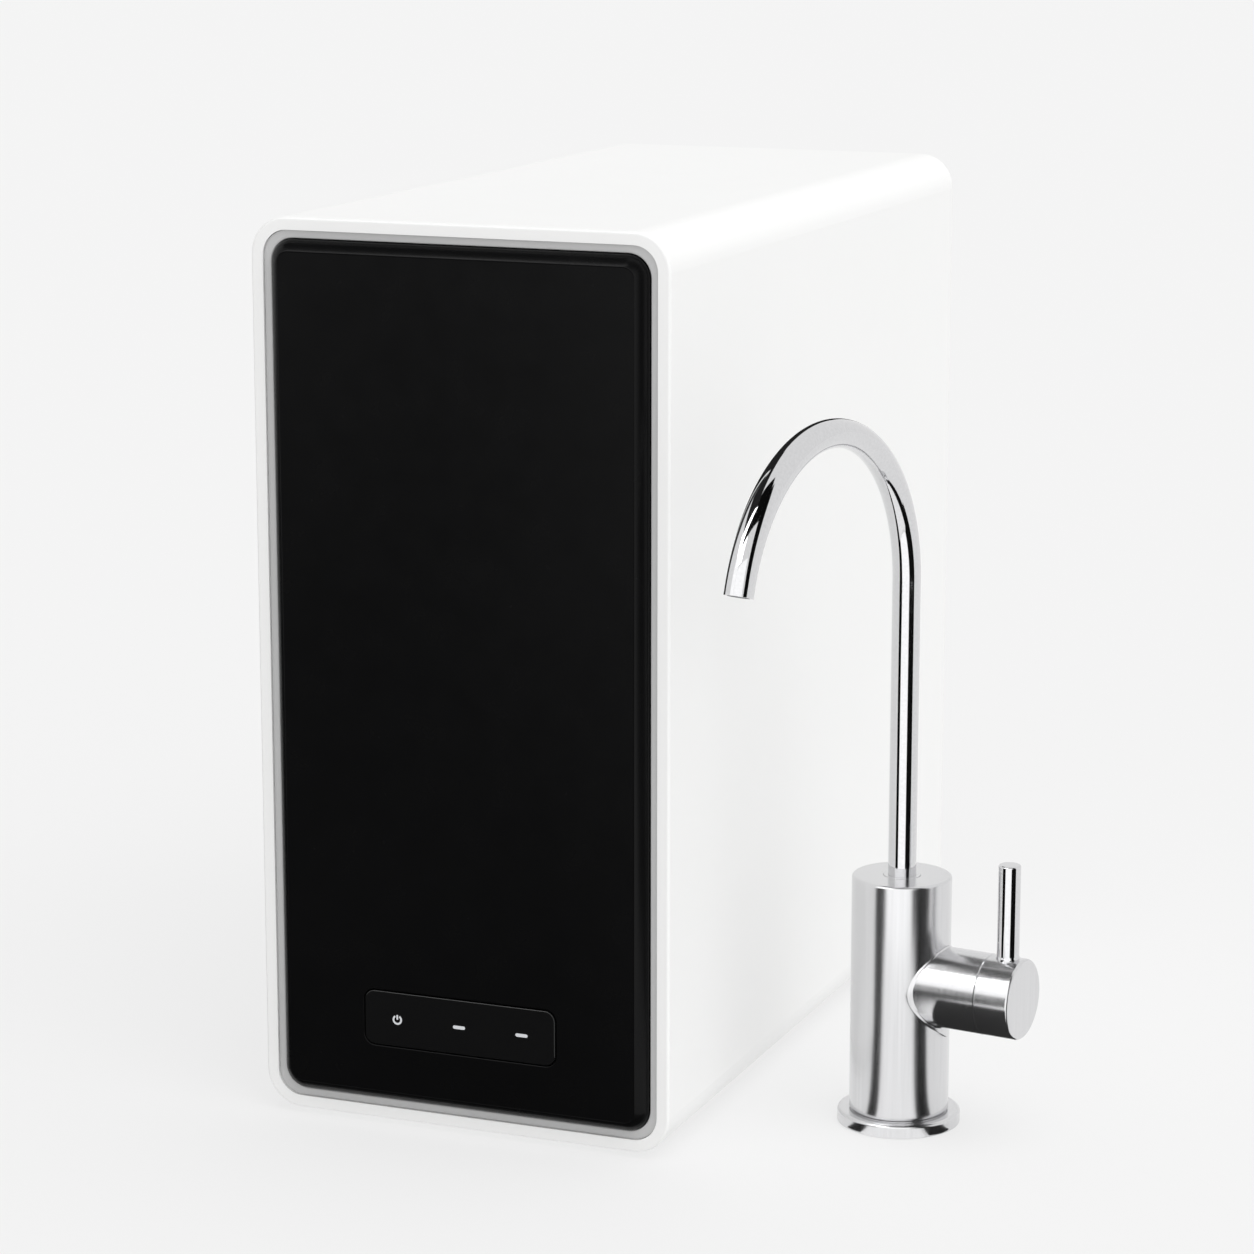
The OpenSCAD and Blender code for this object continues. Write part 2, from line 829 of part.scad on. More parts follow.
module canister(z, tint) {
    color(tint) housing() translate([filter_x, 0, z]) {
        turned() canister_profile();
        for (a = [0, 180]) {
            rotate([0, a, 0]) difference() {
                lug_sector(lug_at, lug_at + lug_len, neck_r + lug_reach, lug_angle);
                rod(lug_at - 1, lug_at + lug_len + 1, neck_r - join);
            }
        }
    }
}

// Front cap of a filter, with a bar to grip in a round well
grip_w = 12;
module grip_cap(z, tint) {
    well_r = filter_r - 10;
    color(tint) housing() translate([filter_x, 0, z]) {
        difference() {
            rod(filter_front, filter_front + cap_len_y, filter_r);
            translate([0, filter_front, 0]) turned()
                translate([filter_r, 0]) rotate(45) square(2, center = true);
            rod(filter_front - 1, filter_front + cap_len_y - 4, well_r);
        }
        slab(filter_front + 1, filter_front + cap_len_y - 3) intersection() {
            circle(well_r + 1);
            square([grip_w, filter_d], center = true);
        }
    }
}

module composite_canister() canister(composite_z, white);
module membrane_canister() canister(membrane_z, white);
module composite_cap() grip_cap(composite_z, "#5d86a8");
module membrane_cap() grip_cap(membrane_z, "#8a8f96");

module carbon_block() color("#2b2b2c") housing() translate([filter_x, 0, composite_z]) {
    ring_rod(media_front, media_back, media_r, nipple_r + 4);
}

module membrane_element() color("#d8d2bf") housing() translate([filter_x, 0, membrane_z]) {
    ring_rod(media_front, media_back, media_r, permeate_r);
}

permeate_r = 10;
module permeate_tube() color("#f4f4f0") housing() translate([filter_x, 0, membrane_z]) {
    ring_rod(media_front, media_back, permeate_r, permeate_r - 2);
}

module nipple_seals(z) {
    color(black) housing() translate([filter_x, 0, z]) {
        for (y = seal_ys) {
            ring_rod(y, y + seal_t, nipple_r + running/2, nipple_r - seal_groove);
        }
    }
}

module composite_seals() nipple_seals(composite_z);
module membrane_seals() nipple_seals(membrane_z);

// Booster pump on rubber mounts
module at_pump() {
    housing() translate([pump_x, 0, pump_z]) children();
}

module pump_motor_can() color("#6f7479") at_pump() {
    difference() {
        union() {
            rod(pump_at, motor_end, motor_r);
            rod(pump_at - 8, pump_at + join, bearing_r + 4);
        }
        rod(pump_at + motor_wall, motor_end + 1, motor_r - motor_wall);
        rod(pump_at - 8 + 1.5, pump_at + motor_wall + 1, bearing_r);
        for (a = [30:60:330]) {
            rotate([0, a, 0]) translate([0, 0, motor_r - 14]) rod(pump_at - 1, pump_at + motor_wall + 1, 4);
        }
    }
}

rotor_r = motor_r - motor_wall - 15;
rotor_front = pump_at + motor_wall + 14;
rotor_back = motor_end - 30;
shaft_back = motor_end + 22;
module pump_magnets() color("#3b3d40") at_pump() {
    for (s = [0, 180]) {
        rotate([0, s, 0]) difference() {
            ring_rod(rotor_front, rotor_back + 2, motor_r - motor_wall, rotor_r + 2);
            for (x = [-2*motor_d, 0]) {
                translate([x, pump_at, -motor_r - 12]) cube([2*motor_d, 2*motor_len, 2*motor_r]);
            }
        }
    }
}

module pump_rotor() color("#a8763e") at_pump() {
    rod(pump_at - 6, shaft_back, shaft_d/2);
    difference() {
        rod(rotor_front, rotor_back, rotor_r);
        for (a = [0:30:330]) {
            rotate([0, a, 0]) translate([-2, pump_at, rotor_r - 7]) cube([4, motor_len, 8]);
        }
    }
    rod(motor_end - 24, motor_end - 12, shaft_d/2 + 7);
}

bearing_ys = [pump_at - 6.5, motor_end + 4];
module pump_bearings() color(steel) at_pump() {
    for (y = bearing_ys) {
        ring_rod(y, y + bearing_w, bearing_r, shaft_d/2 + running);
    }
}

module pump_head() color("#2f3236") at_pump() {
    boss = 12;
    difference() {
        union() {
            rod(motor_end, motor_end + 10, head_r);
            rod(motor_end + 9, head_end - 12, head_r - 5);
            rod(head_end - 13, head_end, head_r);
            for (a = [45:90:315]) {
                rotate([0, a, 0]) translate([0, 0, head_r - 6]) rod(motor_end, head_end, 5);
            }
            for (z = hose_zs) {
                translate([0, hose_y, z - pump_z]) rotate([0, 90, 0]) {
                    cylinder(r = boss/2 + 2, h = hose_start - pump_x);
                    cylinder(r = barb_r, h = hose_start - pump_x + barb_len);
                }
            }
        }
        rod(motor_end - 1, motor_end + 4 + bearing_w, bearing_r);
        rod(motor_end, shaft_back + 2, shaft_d/2 + 1.5);
        for (z = hose_zs) {
            translate([head_r - 8, hose_y, z - pump_z]) rotate([0, 90, 0])
                cylinder(r = barb_r - 1.2, h = head_r);
        }
    }
}

saddle_ys = [pump_at + 12, motor_end - 20];
bracket_w = motor_d - 8;
bracket_y0 = pump_at + 4;
bracket_y1 = motor_end - 4;
bracket_z = deck_z + mount_h;
module pump_bracket() color(steel) housing() {
    difference() {
        union() {
            translate([pump_x - bracket_w/2, bracket_y0, bracket_z])
                cube([bracket_w, bracket_y1 - bracket_y0, bracket_t]);
            for (y = saddle_ys) {
                translate([pump_x - bracket_w/2, y, bracket_z])
                    cube([bracket_w, saddle_t, pump_z - bracket_z - motor_r/3]);
            }
        }
        translate([pump_x, 0, pump_z]) rod(pump_at, motor_end, motor_r + running);
    }
}

module pump_mounts() color(black) housing() {
    for (x = [-1, 1], y = [bracket_y0 + 9, bracket_y1 - 9]) {
        translate([pump_x + x*(bracket_w/2 - 9), y, deck_z]) cylinder(r = 7, h = mount_h);
    }
}

// Hoses from the pump head to the manifold
module hose(z) {
    color("#e3e5e6") housing() translate([0, 0, z]) difference() {
        union() {
            hose_bow(hose_r, 0);
            hose_lead(hose_r - hose_step, 0);
        }
        union() {
            hose_bow(hose_bore, 1);
            hose_lead(hose_bore - hose_step, 1);
        }
    }
}

// The bend and the run to the manifold
module hose_bow(r, past) {
    translate([hose_corner, hose_y + hose_bend, 0]) rotate(-90) rotate_extrude(angle = 90)
        translate([hose_bend, 0]) circle(r);
    translate([strip_x, 0, 0]) rod(hose_y + hose_bend, manifold_front + past, r);
}

// The run from the pump head, a little slimmer where it enters the bend
module hose_lead(r, past) {
    translate([hose_start - past, hose_y, 0]) rotate([0, 90, 0])
        cylinder(r = r, h = hose_corner + join - hose_start + past);
}

module suction_hose() hose(hose_zs[0]);
module pressure_hose() hose(hose_zs[1]);

// Solenoid valves and pressure switch on the manifold's front
seat_len = 16;
coil_len = 26;
armature_tip = 4;
seat_front = manifold_front - seat_len;
coil_front = seat_front - coil_len;
armature_front = coil_front - armature_tip;
module valve_bodies() color("#e8e6df") housing() {
    for (z = valve_zs) {
        translate([strip_x, 0, z]) {
            slab(manifold_front - 5, manifold_front) rounded_rect(valve_w, valve_w, 4);
            rod(seat_front, manifold_front - 5 + join, 11);
            rod(manifold_front - 1, manifold_front + 5, 7);
            rod(armature_front, seat_front + join, 5);
        }
    }
}

module valve_coils() color("#33506e") housing() {
    for (z = valve_zs) {
        translate([strip_x, 0, z]) difference() {
            union() {
                slab(coil_front, seat_front) rounded_rect(valve_w - 4, valve_w, 5);
                translate([0, coil_front + 10, valve_w/2 - join]) cube([6, 8, 8], center = true);
            }
            rod(armature_front, manifold_front, 5 + running);
        }
    }
}

switch_len = 26;
switch_r = 13;
tab = [1, 9, 6];
module pressure_switch() color("#2f3236") housing() {
    translate([strip_x, 0, switch_z]) {
        rod(manifold_front - 6, manifold_front + 5, 7);
        rod(manifold_front - switch_len, manifold_front - 5, switch_r);
        for (x = [-5, 5]) {
            translate([x, manifold_front - switch_len + join - tab[1]/2, 0]) cube(tab, center = true);
        }
    }
}

// Main board on the chassis' right wall
standoff = 5;
board_x = chassis_right - side_wall - standoff;
board_y0 = pump_at + 20;
board_room = 28;
board_foot = 16;
board_head = 10;
board_y1 = coil_front - board_room;
board_z0 = membrane_z - filter_r + board_foot;
board_z1 = composite_z + board_head;
module main_board() color("#1f5a3a") housing() {
    translate([board_x - board_t, board_y0, board_z0])
        cube([board_t, board_y1 - board_y0, board_z1 - board_z0]);
    for (i = [0, 1, 2]) {
        translate([board_x - board_t - 15, board_y0 + 24, board_z0 + 24 + i*34]) cube([15.5, 18, 24]);
        translate([board_x - board_t + join, board_y0 + 64 + i*18, board_z1 - 26])
            rotate([0, -90, 0]) cylinder(r = 6.5, h = 18 + join);
    }
    translate([board_x - board_t - 12, board_y1 - 30, board_z0 + 20]) cube([12.5, 14, 70]);
}

// Push-fit ports on the rear
module port_fittings() color("#f2f3f4") housing() {
    for (x = port_xs) {
        translate([x, 0, port_z]) difference() {
            union() {
                rod(chassis_back, fitting_end, fitting_r);
                rod(chassis_back - fitting_spigot + 0.5, chassis_back + join, fitting_r - 3);
            }
            rod(tube_stop, fitting_end + 1, stop_bore);
            rod(tube_stop + stop_len, fitting_end + 1, collet_r + running);
            rod(chassis_back - fitting_spigot - 1, tube_stop + 1, tube_r - 1);
        }
    }
}

module port_seals() color(black) housing() {
    seal_at = tube_stop + stop_len;
    for (x = port_xs) {
        translate([x, 0, port_z]) ring_rod(seal_at, seal_at + seal_t, collet_r, seal_bore);
    }
}

module collet(i, tint) {
    lip = fitting_end + collet_travel + free_gap;
    color(tint) housing() translate([port_xs[i], 0, port_z]) difference() {
        union() {
            rod(fitting_end - collet_len + free_gap + collet_travel, lip + 1, collet_r);
            rod(lip, lip + 2, collet_flange_r);
        }
        rod(0, lip + 3, collet_bore);
        for (a = [0, 90]) {
            rotate([0, a, 0]) translate([-0.6, fitting_end - collet_len, -collet_r - 1])
                cube([1.2, 7, 2*collet_r + 2]);
        }
    }
}

module feed_collet() collet(0, "#3a6ea5");
module pure_collet() collet(1, "#f2f3f4");
module drain_collet() collet(2, "#b23a36");

module power_inlet() color(black) housing() translate([inlet_x, 0, inlet_z]) {
    nose = rear_at + rear_t + 1.5;
    difference() {
        union() {
            rod(rear_at - 2, nose, inlet_r + 2.5);
            slab(rear_at - 14, rear_at) square([14, 12], center = true);
        }
        rod(rear_at - 9, nose + 1, inlet_r);
    }
    rod(rear_at - 10, nose - 2, 1.05);
}

// Faucet base and body
module faucet_gasket() color(black) faucet() difference() {
    cylinder(r = flange_r - 3, h = gasket_t);
    translate([0, 0, -1]) cylinder(r = spigot_r + 3, h = gasket_t + 2);
}

module faucet_flange() color(steel) faucet() rotate_extrude() difference() {
    translate([spigot_r + slip, flange_lift]) square([flange_r - spigot_r - slip, flange_h - flange_lift]);
    translate([spigot_r + 3 - slip, 0]) square([flange_r - spigot_r - 6 + 2*slip, gasket_t]);
    translate([flange_r - edge_r, flange_h - edge_r]) outer_fillet(edge_r);
}

seam_h = 0.8;
module faucet_body() color(steel) faucet() difference() {
    rotate_extrude() difference() {
        union() {
            translate([0, gasket_t]) square([spigot_r, flange_h]);
            translate([0, flange_h]) square([post_r - 0.7, seam_h + 1]);
            translate([0, flange_h + seam_h]) square([post_r, post_top - flange_h - seam_h]);
        }
        translate([post_r - edge_r, post_top - edge_r]) outer_fillet(edge_r);
    }
    cylinder(r = socket_r, h = gasket_t + socket_len);
    cylinder(r = 3, h = valve_up);
    translate([0, 0, valve_up]) rotate([0, 90, 0]) translate([0, 0, arm_spigot_at - 1])
        cylinder(r = arm_spigot_r + running, h = post_d);
    translate([0, 0, valve_up + arm_spigot_r - 4]) cylinder(r = 3, h = post_top);
    translate([0, 0, spout_foot - 1]) cylinder(r = spout_r + running, h = post_top);
    translate([0, 0, post_top - bush_len]) cylinder(r = bush_r + running, h = bush_len + 1);
}

// Side valve
module valve_sleeve() color(steel) {
    difference() {
        union() {
            on_valve_axis() cylinder(r = arm_r, h = arm_reach);
            intersection() {
                on_valve_axis() cylinder(r = arm_r + 0.9, h = arm_reach);
                faucet() cylinder(r = post_r + 0.8, h = post_top);
            }
        }
        faucet() cylinder(r = post_r + running, h = post_top);
        on_valve_axis() cylinder(r = cartridge_r + running, h = arm_reach + 1);
    }
    on_valve_axis() translate([0, 0, arm_spigot_at]) difference() {
        cylinder(r = arm_spigot_r, h = post_r + 4 - arm_spigot_at);
        translate([0, 0, -1]) cylinder(r = cartridge_r + running, h = post_r);
        translate([0, 0, post_r - arm_spigot_at - 2]) cylinder(r = cartridge_r + running, h = 20);
    }
}

module valve_cartridge() color("#b08d4a") on_valve_axis() difference() {
    translate([0, 0, arm_spigot_at]) cylinder(r = cartridge_r, h = cartridge_end - arm_spigot_at);
    cylinder(r = stem_r + running, h = arm_reach);
    translate([0, 0, disc_at]) cylinder(r = disc_r + running, h = 2*disc_t + 3);
    cylinder(r = 4.5, h = disc_at + 1);
}

module fixed_disc() color("#f0eee6") on_valve_axis() translate([0, 0, disc_at]) difference() {
    cylinder(r = disc_r, h = disc_t);
    for (s = [-1, 1]) {
        translate([0, s*3.5, -1]) cylinder(r = 2, h = disc_t + 2);
    }
}

module turning_disc() color("#e4e0d4") on_valve_axis() translate([0, 0, disc_at + disc_t]) difference() {
    cylinder(r = disc_r, h = disc_t);
    for (s = [-1, 1]) {
        translate([0, s*3.5, -1]) cylinder(r = 2, h = 2.5);
    }
    translate([-5, -1.5 - running, disc_t - 1.5]) cube([10, 3 + 2*running, 2]);
}

module valve_stem() color("#b08d4a") on_valve_axis() {
    flange_at = disc_at + 2*disc_t + running;
    translate([0, 0, flange_at]) cylinder(r = disc_r - 0.5, h = 2);
    translate([0, 0, flange_at]) cylinder(r = stem_r, h = cap_end - 4 - flange_at);
    translate([-4.5, -1.5, flange_at - 1.2]) cube([9, 3, 2]);
}

module handle_cap() color(steel) on_valve_axis() difference() {
    translate([0, 0, cap_at]) rotate_extrude() difference() {
        square([arm_r, cap_len]);
        translate([arm_r - edge_r, cap_len - edge_r]) outer_fillet(edge_r);
    }
    translate([0, 0, cap_at - 1]) cylinder(r = stem_r + running, h = cap_len - 3);
    translate([-lever_seat, 0, lever_x]) rotate([0, -90, 0]) cylinder(r = lever_r + running, h = arm_r);
    translate([stud_len - lever_seat, 0, lever_x]) rotate([0, -90, 0])
        cylinder(r = stud_r + running, h = arm_r);
}

module lever() color(steel) faucet() translate([lever_x, 0, valve_up + lever_seat]) {
    rotate_extrude() difference() {
        square([lever_r, lever_up - lever_seat]);
        translate([lever_r - 0.8, lever_up - lever_seat - 0.8]) outer_fillet(0.8);
    }
    translate([0, 0, running - stud_len]) cylinder(r = stud_r, h = stud_len);
}

// Goose-neck spout
// Carries its children to the spout's tip, with +Z out of the tube
module at_spout_tip() {
    translate([0, -spout_bend, spout_top]) rotate([spout_sweep, 0, 0])
        translate([0, spout_bend, 0]) children();
}

// A round bar along the spout, from below its foot to the end of the arch
module spout_path(r, below) {
    translate([0, 0, spout_foot - below]) cylinder(r = r, h = spout_top - spout_foot + below);
    translate([0, -spout_bend, spout_top]) rotate([90, 0, 90]) rotate_extrude(angle = spout_sweep)
        translate([spout_bend, 0]) circle(r);
}

spout_grooves = [spout_foot + 3, spout_foot + 8];
groove_h = 2;
module spout_ring(z, out) {
    translate([0, 0, z]) difference() {
        cylinder(r = spout_r + out, h = groove_h);
        translate([0, 0, -1]) cylinder(r = spout_r - 0.8, h = groove_h + 2);
    }
}

module spout() color(steel) on_spout_turn() difference() {
    union() {
        spout_path(spout_r, 0);
        at_spout_tip() translate([0, 0, -join]) cylinder(r = spout_r - tip_step, h = spout_end + join);
    }
    union() {
        spout_path(spout_bore, 1);
        at_spout_tip() translate([0, 0, -nozzle_len]) cylinder(r = tip_bore, h = spout_end + nozzle_len + 1);
    }
    for (z = spout_grooves) {
        spout_ring(z, 1);
    }
}

module spout_seals() color(black) on_spout_turn() {
    for (z = spout_grooves) {
        spout_ring(z, running/2);
    }
}

module spout_bush() color("#d0d2d4") faucet() translate([0, 0, post_top - bush_len]) difference() {
    cylinder(r = bush_r, h = bush_len + 0.6);
    translate([0, 0, -1]) cylinder(r = spout_r + running, h = bush_len + 3);
}

module outlet_straightener() color("#d0d2d4") on_spout_turn() at_spout_tip() {
    translate([0, 0, spout_end - nozzle_len - 1]) difference() {
        cylinder(r = tip_bore, h = nozzle_len);
        for (a = [0:60:300]) {
            rotate(a) translate([spout_bore*0.6, 0, -1]) cylinder(r = spout_bore*0.2, h = nozzle_len + 2);
        }
        translate([0, 0, -1]) cylinder(r = spout_bore*0.2, h = nozzle_len + 2);
    }
}

outer_shell();
front_frame();
front_cover();
cover_studs();
cover_grommets();
control_lens();
control_housing();
control_board();
power_light();
filter_lights();
rear_panel();
case_screws();
feet();
chassis();
manifold();
composite_canister();
composite_cap();
carbon_block();
composite_seals();
membrane_canister();
membrane_cap();
membrane_element();
permeate_tube();
membrane_seals();
pump_head();
pump_motor_can();
pump_magnets();
pump_rotor();
pump_bearings();
pump_bracket();
pump_mounts();
suction_hose();
pressure_hose();
valve_bodies();
valve_coils();
pressure_switch();
main_board();
port_fittings();
feed_collet();
pure_collet();
drain_collet();
port_seals();
power_inlet();
faucet_gasket();
faucet_flange();
faucet_body();
valve_sleeve();
valve_cartridge();
fixed_disc();
turning_disc();
valve_stem();
handle_cap();
lever();
spout();
spout_seals();
spout_bush();
outlet_straightener();
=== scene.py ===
# %% [markdown]
# # A reverse osmosis system, dressed for its picture
#
# The object is a kitchen water purifier in two standing pieces: a white housing with a black,
# pillowed front cover, and the chrome faucet that dispenses the water. The solids arrive as a
# imported frame, at their real size, in metres. This lesson gives every surface its finish and models
# again the pieces whose edges and details catch the eye.

# %% Load the frame
import json
import math

import bmesh
import bpy
from mathutils import Matrix, Vector

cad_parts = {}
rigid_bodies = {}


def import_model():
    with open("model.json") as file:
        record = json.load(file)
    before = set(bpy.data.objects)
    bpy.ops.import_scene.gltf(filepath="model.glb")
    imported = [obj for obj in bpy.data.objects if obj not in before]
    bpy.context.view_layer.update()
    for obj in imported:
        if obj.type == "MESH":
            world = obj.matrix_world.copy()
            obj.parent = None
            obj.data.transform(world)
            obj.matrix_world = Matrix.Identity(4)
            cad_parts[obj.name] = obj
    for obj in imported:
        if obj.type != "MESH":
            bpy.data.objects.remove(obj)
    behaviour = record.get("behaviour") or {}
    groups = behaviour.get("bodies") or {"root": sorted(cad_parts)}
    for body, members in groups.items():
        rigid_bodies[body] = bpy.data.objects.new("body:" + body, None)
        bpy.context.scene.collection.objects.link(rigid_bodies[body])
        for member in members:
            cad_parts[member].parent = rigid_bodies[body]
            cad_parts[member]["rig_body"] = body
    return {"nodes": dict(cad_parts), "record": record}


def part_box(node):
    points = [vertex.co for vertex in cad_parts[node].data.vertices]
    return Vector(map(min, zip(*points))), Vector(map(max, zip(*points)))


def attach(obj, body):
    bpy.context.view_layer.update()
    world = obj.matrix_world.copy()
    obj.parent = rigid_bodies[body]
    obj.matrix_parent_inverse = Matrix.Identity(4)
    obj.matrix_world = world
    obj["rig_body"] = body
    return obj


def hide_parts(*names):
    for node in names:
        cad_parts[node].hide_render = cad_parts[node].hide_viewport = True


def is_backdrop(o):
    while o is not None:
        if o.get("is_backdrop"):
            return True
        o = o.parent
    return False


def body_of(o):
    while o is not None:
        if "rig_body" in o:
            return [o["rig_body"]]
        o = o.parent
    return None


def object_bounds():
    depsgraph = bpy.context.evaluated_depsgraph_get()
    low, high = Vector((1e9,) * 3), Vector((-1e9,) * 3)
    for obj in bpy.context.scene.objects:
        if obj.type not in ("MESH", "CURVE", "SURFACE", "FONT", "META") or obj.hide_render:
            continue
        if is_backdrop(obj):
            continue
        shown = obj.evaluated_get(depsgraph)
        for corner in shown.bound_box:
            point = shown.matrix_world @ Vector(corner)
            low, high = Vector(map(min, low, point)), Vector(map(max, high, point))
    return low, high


for leftover in list(bpy.data.objects):
    bpy.data.objects.remove(leftover)
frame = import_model()
CAD_LOW, CAD_HIGH = (Vector(corner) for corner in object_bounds())
nodes = frame["nodes"]
MM = 0.001

# %% [markdown]
# ## Where things are
#
# A piece goes where the frame says. The housing's box and the faucet's upright axis are read once,
# and the pieces below are measured from them.

# %% Landmarks
SHELL_LOW, SHELL_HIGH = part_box("outer_shell")
HOUSING_X = (SHELL_LOW.x + SHELL_HIGH.x) / 2
RIM_Y = SHELL_LOW.y
BODY_LOW, BODY_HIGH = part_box("faucet_body")
FLAT = Vector((1, 1, 0))
FAUCET = (BODY_LOW + BODY_HIGH) / 2 * FLAT
print("housing centre x %.4f, rim y %.4f, faucet at %.4f %.4f" % (HOUSING_X, RIM_Y, FAUCET.x, FAUCET.y))

# %% [markdown]
# ## The camera
#
# The picture is taken with a long lens, a little above the housing and to its right. A long lens keeps
# the housing's long edges nearly parallel, so its focal length matters as much as its place.

# %% Camera
CAMERA_FROM_RIM = Vector((0.6314, -1.3934, 0.5415))
CAMERA_YAW, CAMERA_PITCH = math.radians(21.82), math.radians(12.04)
CAMERA_LENS, CAMERA_SENSOR, CAMERA_CLIP = 110.0, 36, 200


def start_clean():
    """Object mode with nothing selected."""
    if bpy.context.mode != "OBJECT":
        bpy.ops.object.mode_set(mode="OBJECT")
    bpy.ops.object.select_all(action="DESELECT")


start_clean()
bpy.ops.object.camera_add()
camera = bpy.context.object
camera.name = "camera"
camera.location = Vector((HOUSING_X, RIM_Y, SHELL_LOW.z)) + CAMERA_FROM_RIM
camera.rotation_euler = (math.pi / 2 - CAMERA_PITCH, 0, CAMERA_YAW)
camera.data.lens = CAMERA_LENS
camera.data.sensor_width = CAMERA_SENSOR
camera.data.clip_end = CAMERA_CLIP
bpy.context.scene.camera = camera
print("camera at", [round(c, 3) for c in camera.location])

# %% [markdown]
# ## Floor, light and reflections
#
# White plastic on a white floor needs light from all round, as in a light tent, and the world gives it.
# The camera and the mirrors see the tone of the paper there instead, so that the background is even.

# %% World
PAPER = (0.885, 0.885, 0.885)
AMBIENT = 0.59

scene = bpy.context.scene
scene.view_settings.view_transform = "Standard"


def link(tree, start, end):
    tree.links.new(start, end)


def put(node, settings):
    """Sets some inputs of a shader node."""
    for socket, value in settings.items():
        node.inputs[socket].default_value = value


def add(tree, kind, settings):
    """A new shader node with some of its inputs set."""
    node = tree.nodes.new("ShaderNode" + kind)
    put(node, settings)
    return node


world = bpy.data.worlds.new("studio")
scene.world = world
world.use_nodes = True
tree = world.node_tree
tree.nodes.clear()
path = add(tree, "LightPath", {})
seen = path.outputs["Is Camera Ray"]
for ray in ("Is Glossy Ray", "Is Transmission Ray"):
    either_ray = add(tree, "Math", {})
    either_ray.operation = "ADD"
    either_ray.use_clamp = True
    link(tree, seen, either_ray.inputs[0])
    link(tree, path.outputs[ray], either_ray.inputs[1])
    seen = either_ray.outputs[0]
light_air = add(tree, "Background", {"Color": (1, 1, 1, 1), "Strength": AMBIENT})
paper_air = add(tree, "Background", {"Color": (*PAPER, 1)})
either = add(tree, "MixShader", {})
for number, source in enumerate((seen, light_air.outputs[0], paper_air.outputs[0])):
    link(tree, source, either.inputs[number])
link(tree, either.outputs[0], add(tree, "OutputWorld", {}).inputs["Surface"])
print("world: light at %.2f, paper at %.3f" % (AMBIENT, PAPER[0]))

# %% [markdown]
# The floor is one wide sheet of paper. A plain sheet would show every shadow at full depth, so most of its
# brightness is a glow of its own, and only the rest is lit: the shadows stay as faint as in the picture.

# %% Floor
FLOOR_SIZE, FLOOR_GLOW, FLOOR_ROUGH = 60.0, 0.72, 0.9


def shade(colour, factor):
    """A lighter or darker neighbour of a colour."""
    return tuple(min(1.0, c * factor) for c in colour)


def plain(name, colour, roughness, specular=0.5):
    """A material with only a shader, to which a finish adds its own nodes."""
    material = bpy.data.materials.new(name)
    material.use_nodes = True
    shader = material.node_tree.nodes["Principled BSDF"]
    put(shader, {"Base Color": (*colour, 1), "Roughness": roughness, "Specular IOR Level": specular})
    return material, material.node_tree, shader


start_clean()
bpy.ops.mesh.primitive_plane_add(size=FLOOR_SIZE)
floor = bpy.context.object
floor.name = "floor"
paper, tree, shader = plain("floor_paper", shade(PAPER, 1 - FLOOR_GLOW), FLOOR_ROUGH, 0.0)
put(shader, {"Emission Color": (*PAPER, 1), "Emission Strength": FLOOR_GLOW})
floor.data.materials.append(paper)
floor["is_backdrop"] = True
print("floor", FLOOR_SIZE, "m wide, glowing at", FLOOR_GLOW)

# %% [markdown]
# Three sun lamps model the housing, from above, from the front and from the right. Area lamps would do
# as well, but a sun lights both pieces evenly, and a wide one has soft shadows. The chrome would show
# the lamps as hard spots, so reflections can't see them.

# %% Lamps
SUN_HEIGHT = 3.0


def soft_sun(name, direction, strength, spread):
    """A wide sun lamp, which softens its shadow. Reflections see the cards instead of it."""
    start_clean()
    bpy.ops.object.light_add(type="SUN", location=Vector(direction).normalized() * SUN_HEIGHT)
    lamp = bpy.context.object
    lamp.name = name
    lamp.rotation_euler = Vector(direction).to_track_quat("Z", "Y").to_euler()
    lamp.data.energy = strength
    lamp.data.angle = math.radians(spread)
    lamp.visible_glossy = False


soft_sun("top_light", (0.35, -0.15, 1.0), 1.24, 60)
soft_sun("front_light", (0.5, -1.0, 0.5), 0.50, 80)
soft_sun("right_light", (1.0, -0.25, 0.4), 0.50, 80)

# %% [markdown]
# Chrome shows only its surroundings, so cards that reflections alone can see stand and lie round the
# faucet. Azimuth 0 points from the faucet to the camera, and positive azimuths lie to the right of the
# picture. An upright tube sends each ray of sight on to the floor, so the cards start there.

# %% Making a card
TO_CAMERA = (camera.location - FAUCET) * FLAT
TO_CAMERA.normalize()
TO_RIGHT = Vector((-TO_CAMERA.y, TO_CAMERA.x, 0))
CARD_LIFT = 0.5 * MM
cards = []


def spot(azimuth, distance, height):
    """A point round the faucet, from a direction in degrees, a distance and a height."""
    turn = math.radians(azimuth)
    way = TO_CAMERA * math.cos(turn) + TO_RIGHT * math.sin(turn)
    return FAUCET + way * distance + Vector((0, 0, height))


def card(name, corners, level, one_sided=False):
    """A flat card of one brightness that only reflections see, from both sides or from its front."""
    mesh = bpy.data.meshes.new(name)
    mesh.from_pydata([tuple(corner) for corner in corners], [], [(0, 1, 2, 3)])
    board = bpy.data.objects.new(name, mesh)
    bpy.context.collection.objects.link(board)
    material = bpy.data.materials.new(name)
    material.use_nodes = True
    tree = material.node_tree
    tree.nodes.clear()
    surface = add(tree, "Emission", {"Color": (level, level, level, 1)}).outputs[0]
    if one_sided:
        choice = add(tree, "MixShader", {})
        link(tree, add(tree, "NewGeometry", {}).outputs["Backfacing"], choice.inputs[0])
        link(tree, surface, choice.inputs[1])
        link(tree, add(tree, "BsdfTransparent", {}).outputs[0], choice.inputs[2])
        surface = choice.outputs[0]
    link(tree, surface, add(tree, "OutputMaterial", {}).inputs["Surface"])
    mesh.materials.append(material)
    board.visible_camera = False
    board.visible_diffuse = False
    board.visible_shadow = False
    board.visible_transmission = False
    board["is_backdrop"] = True
    cards.append(name)


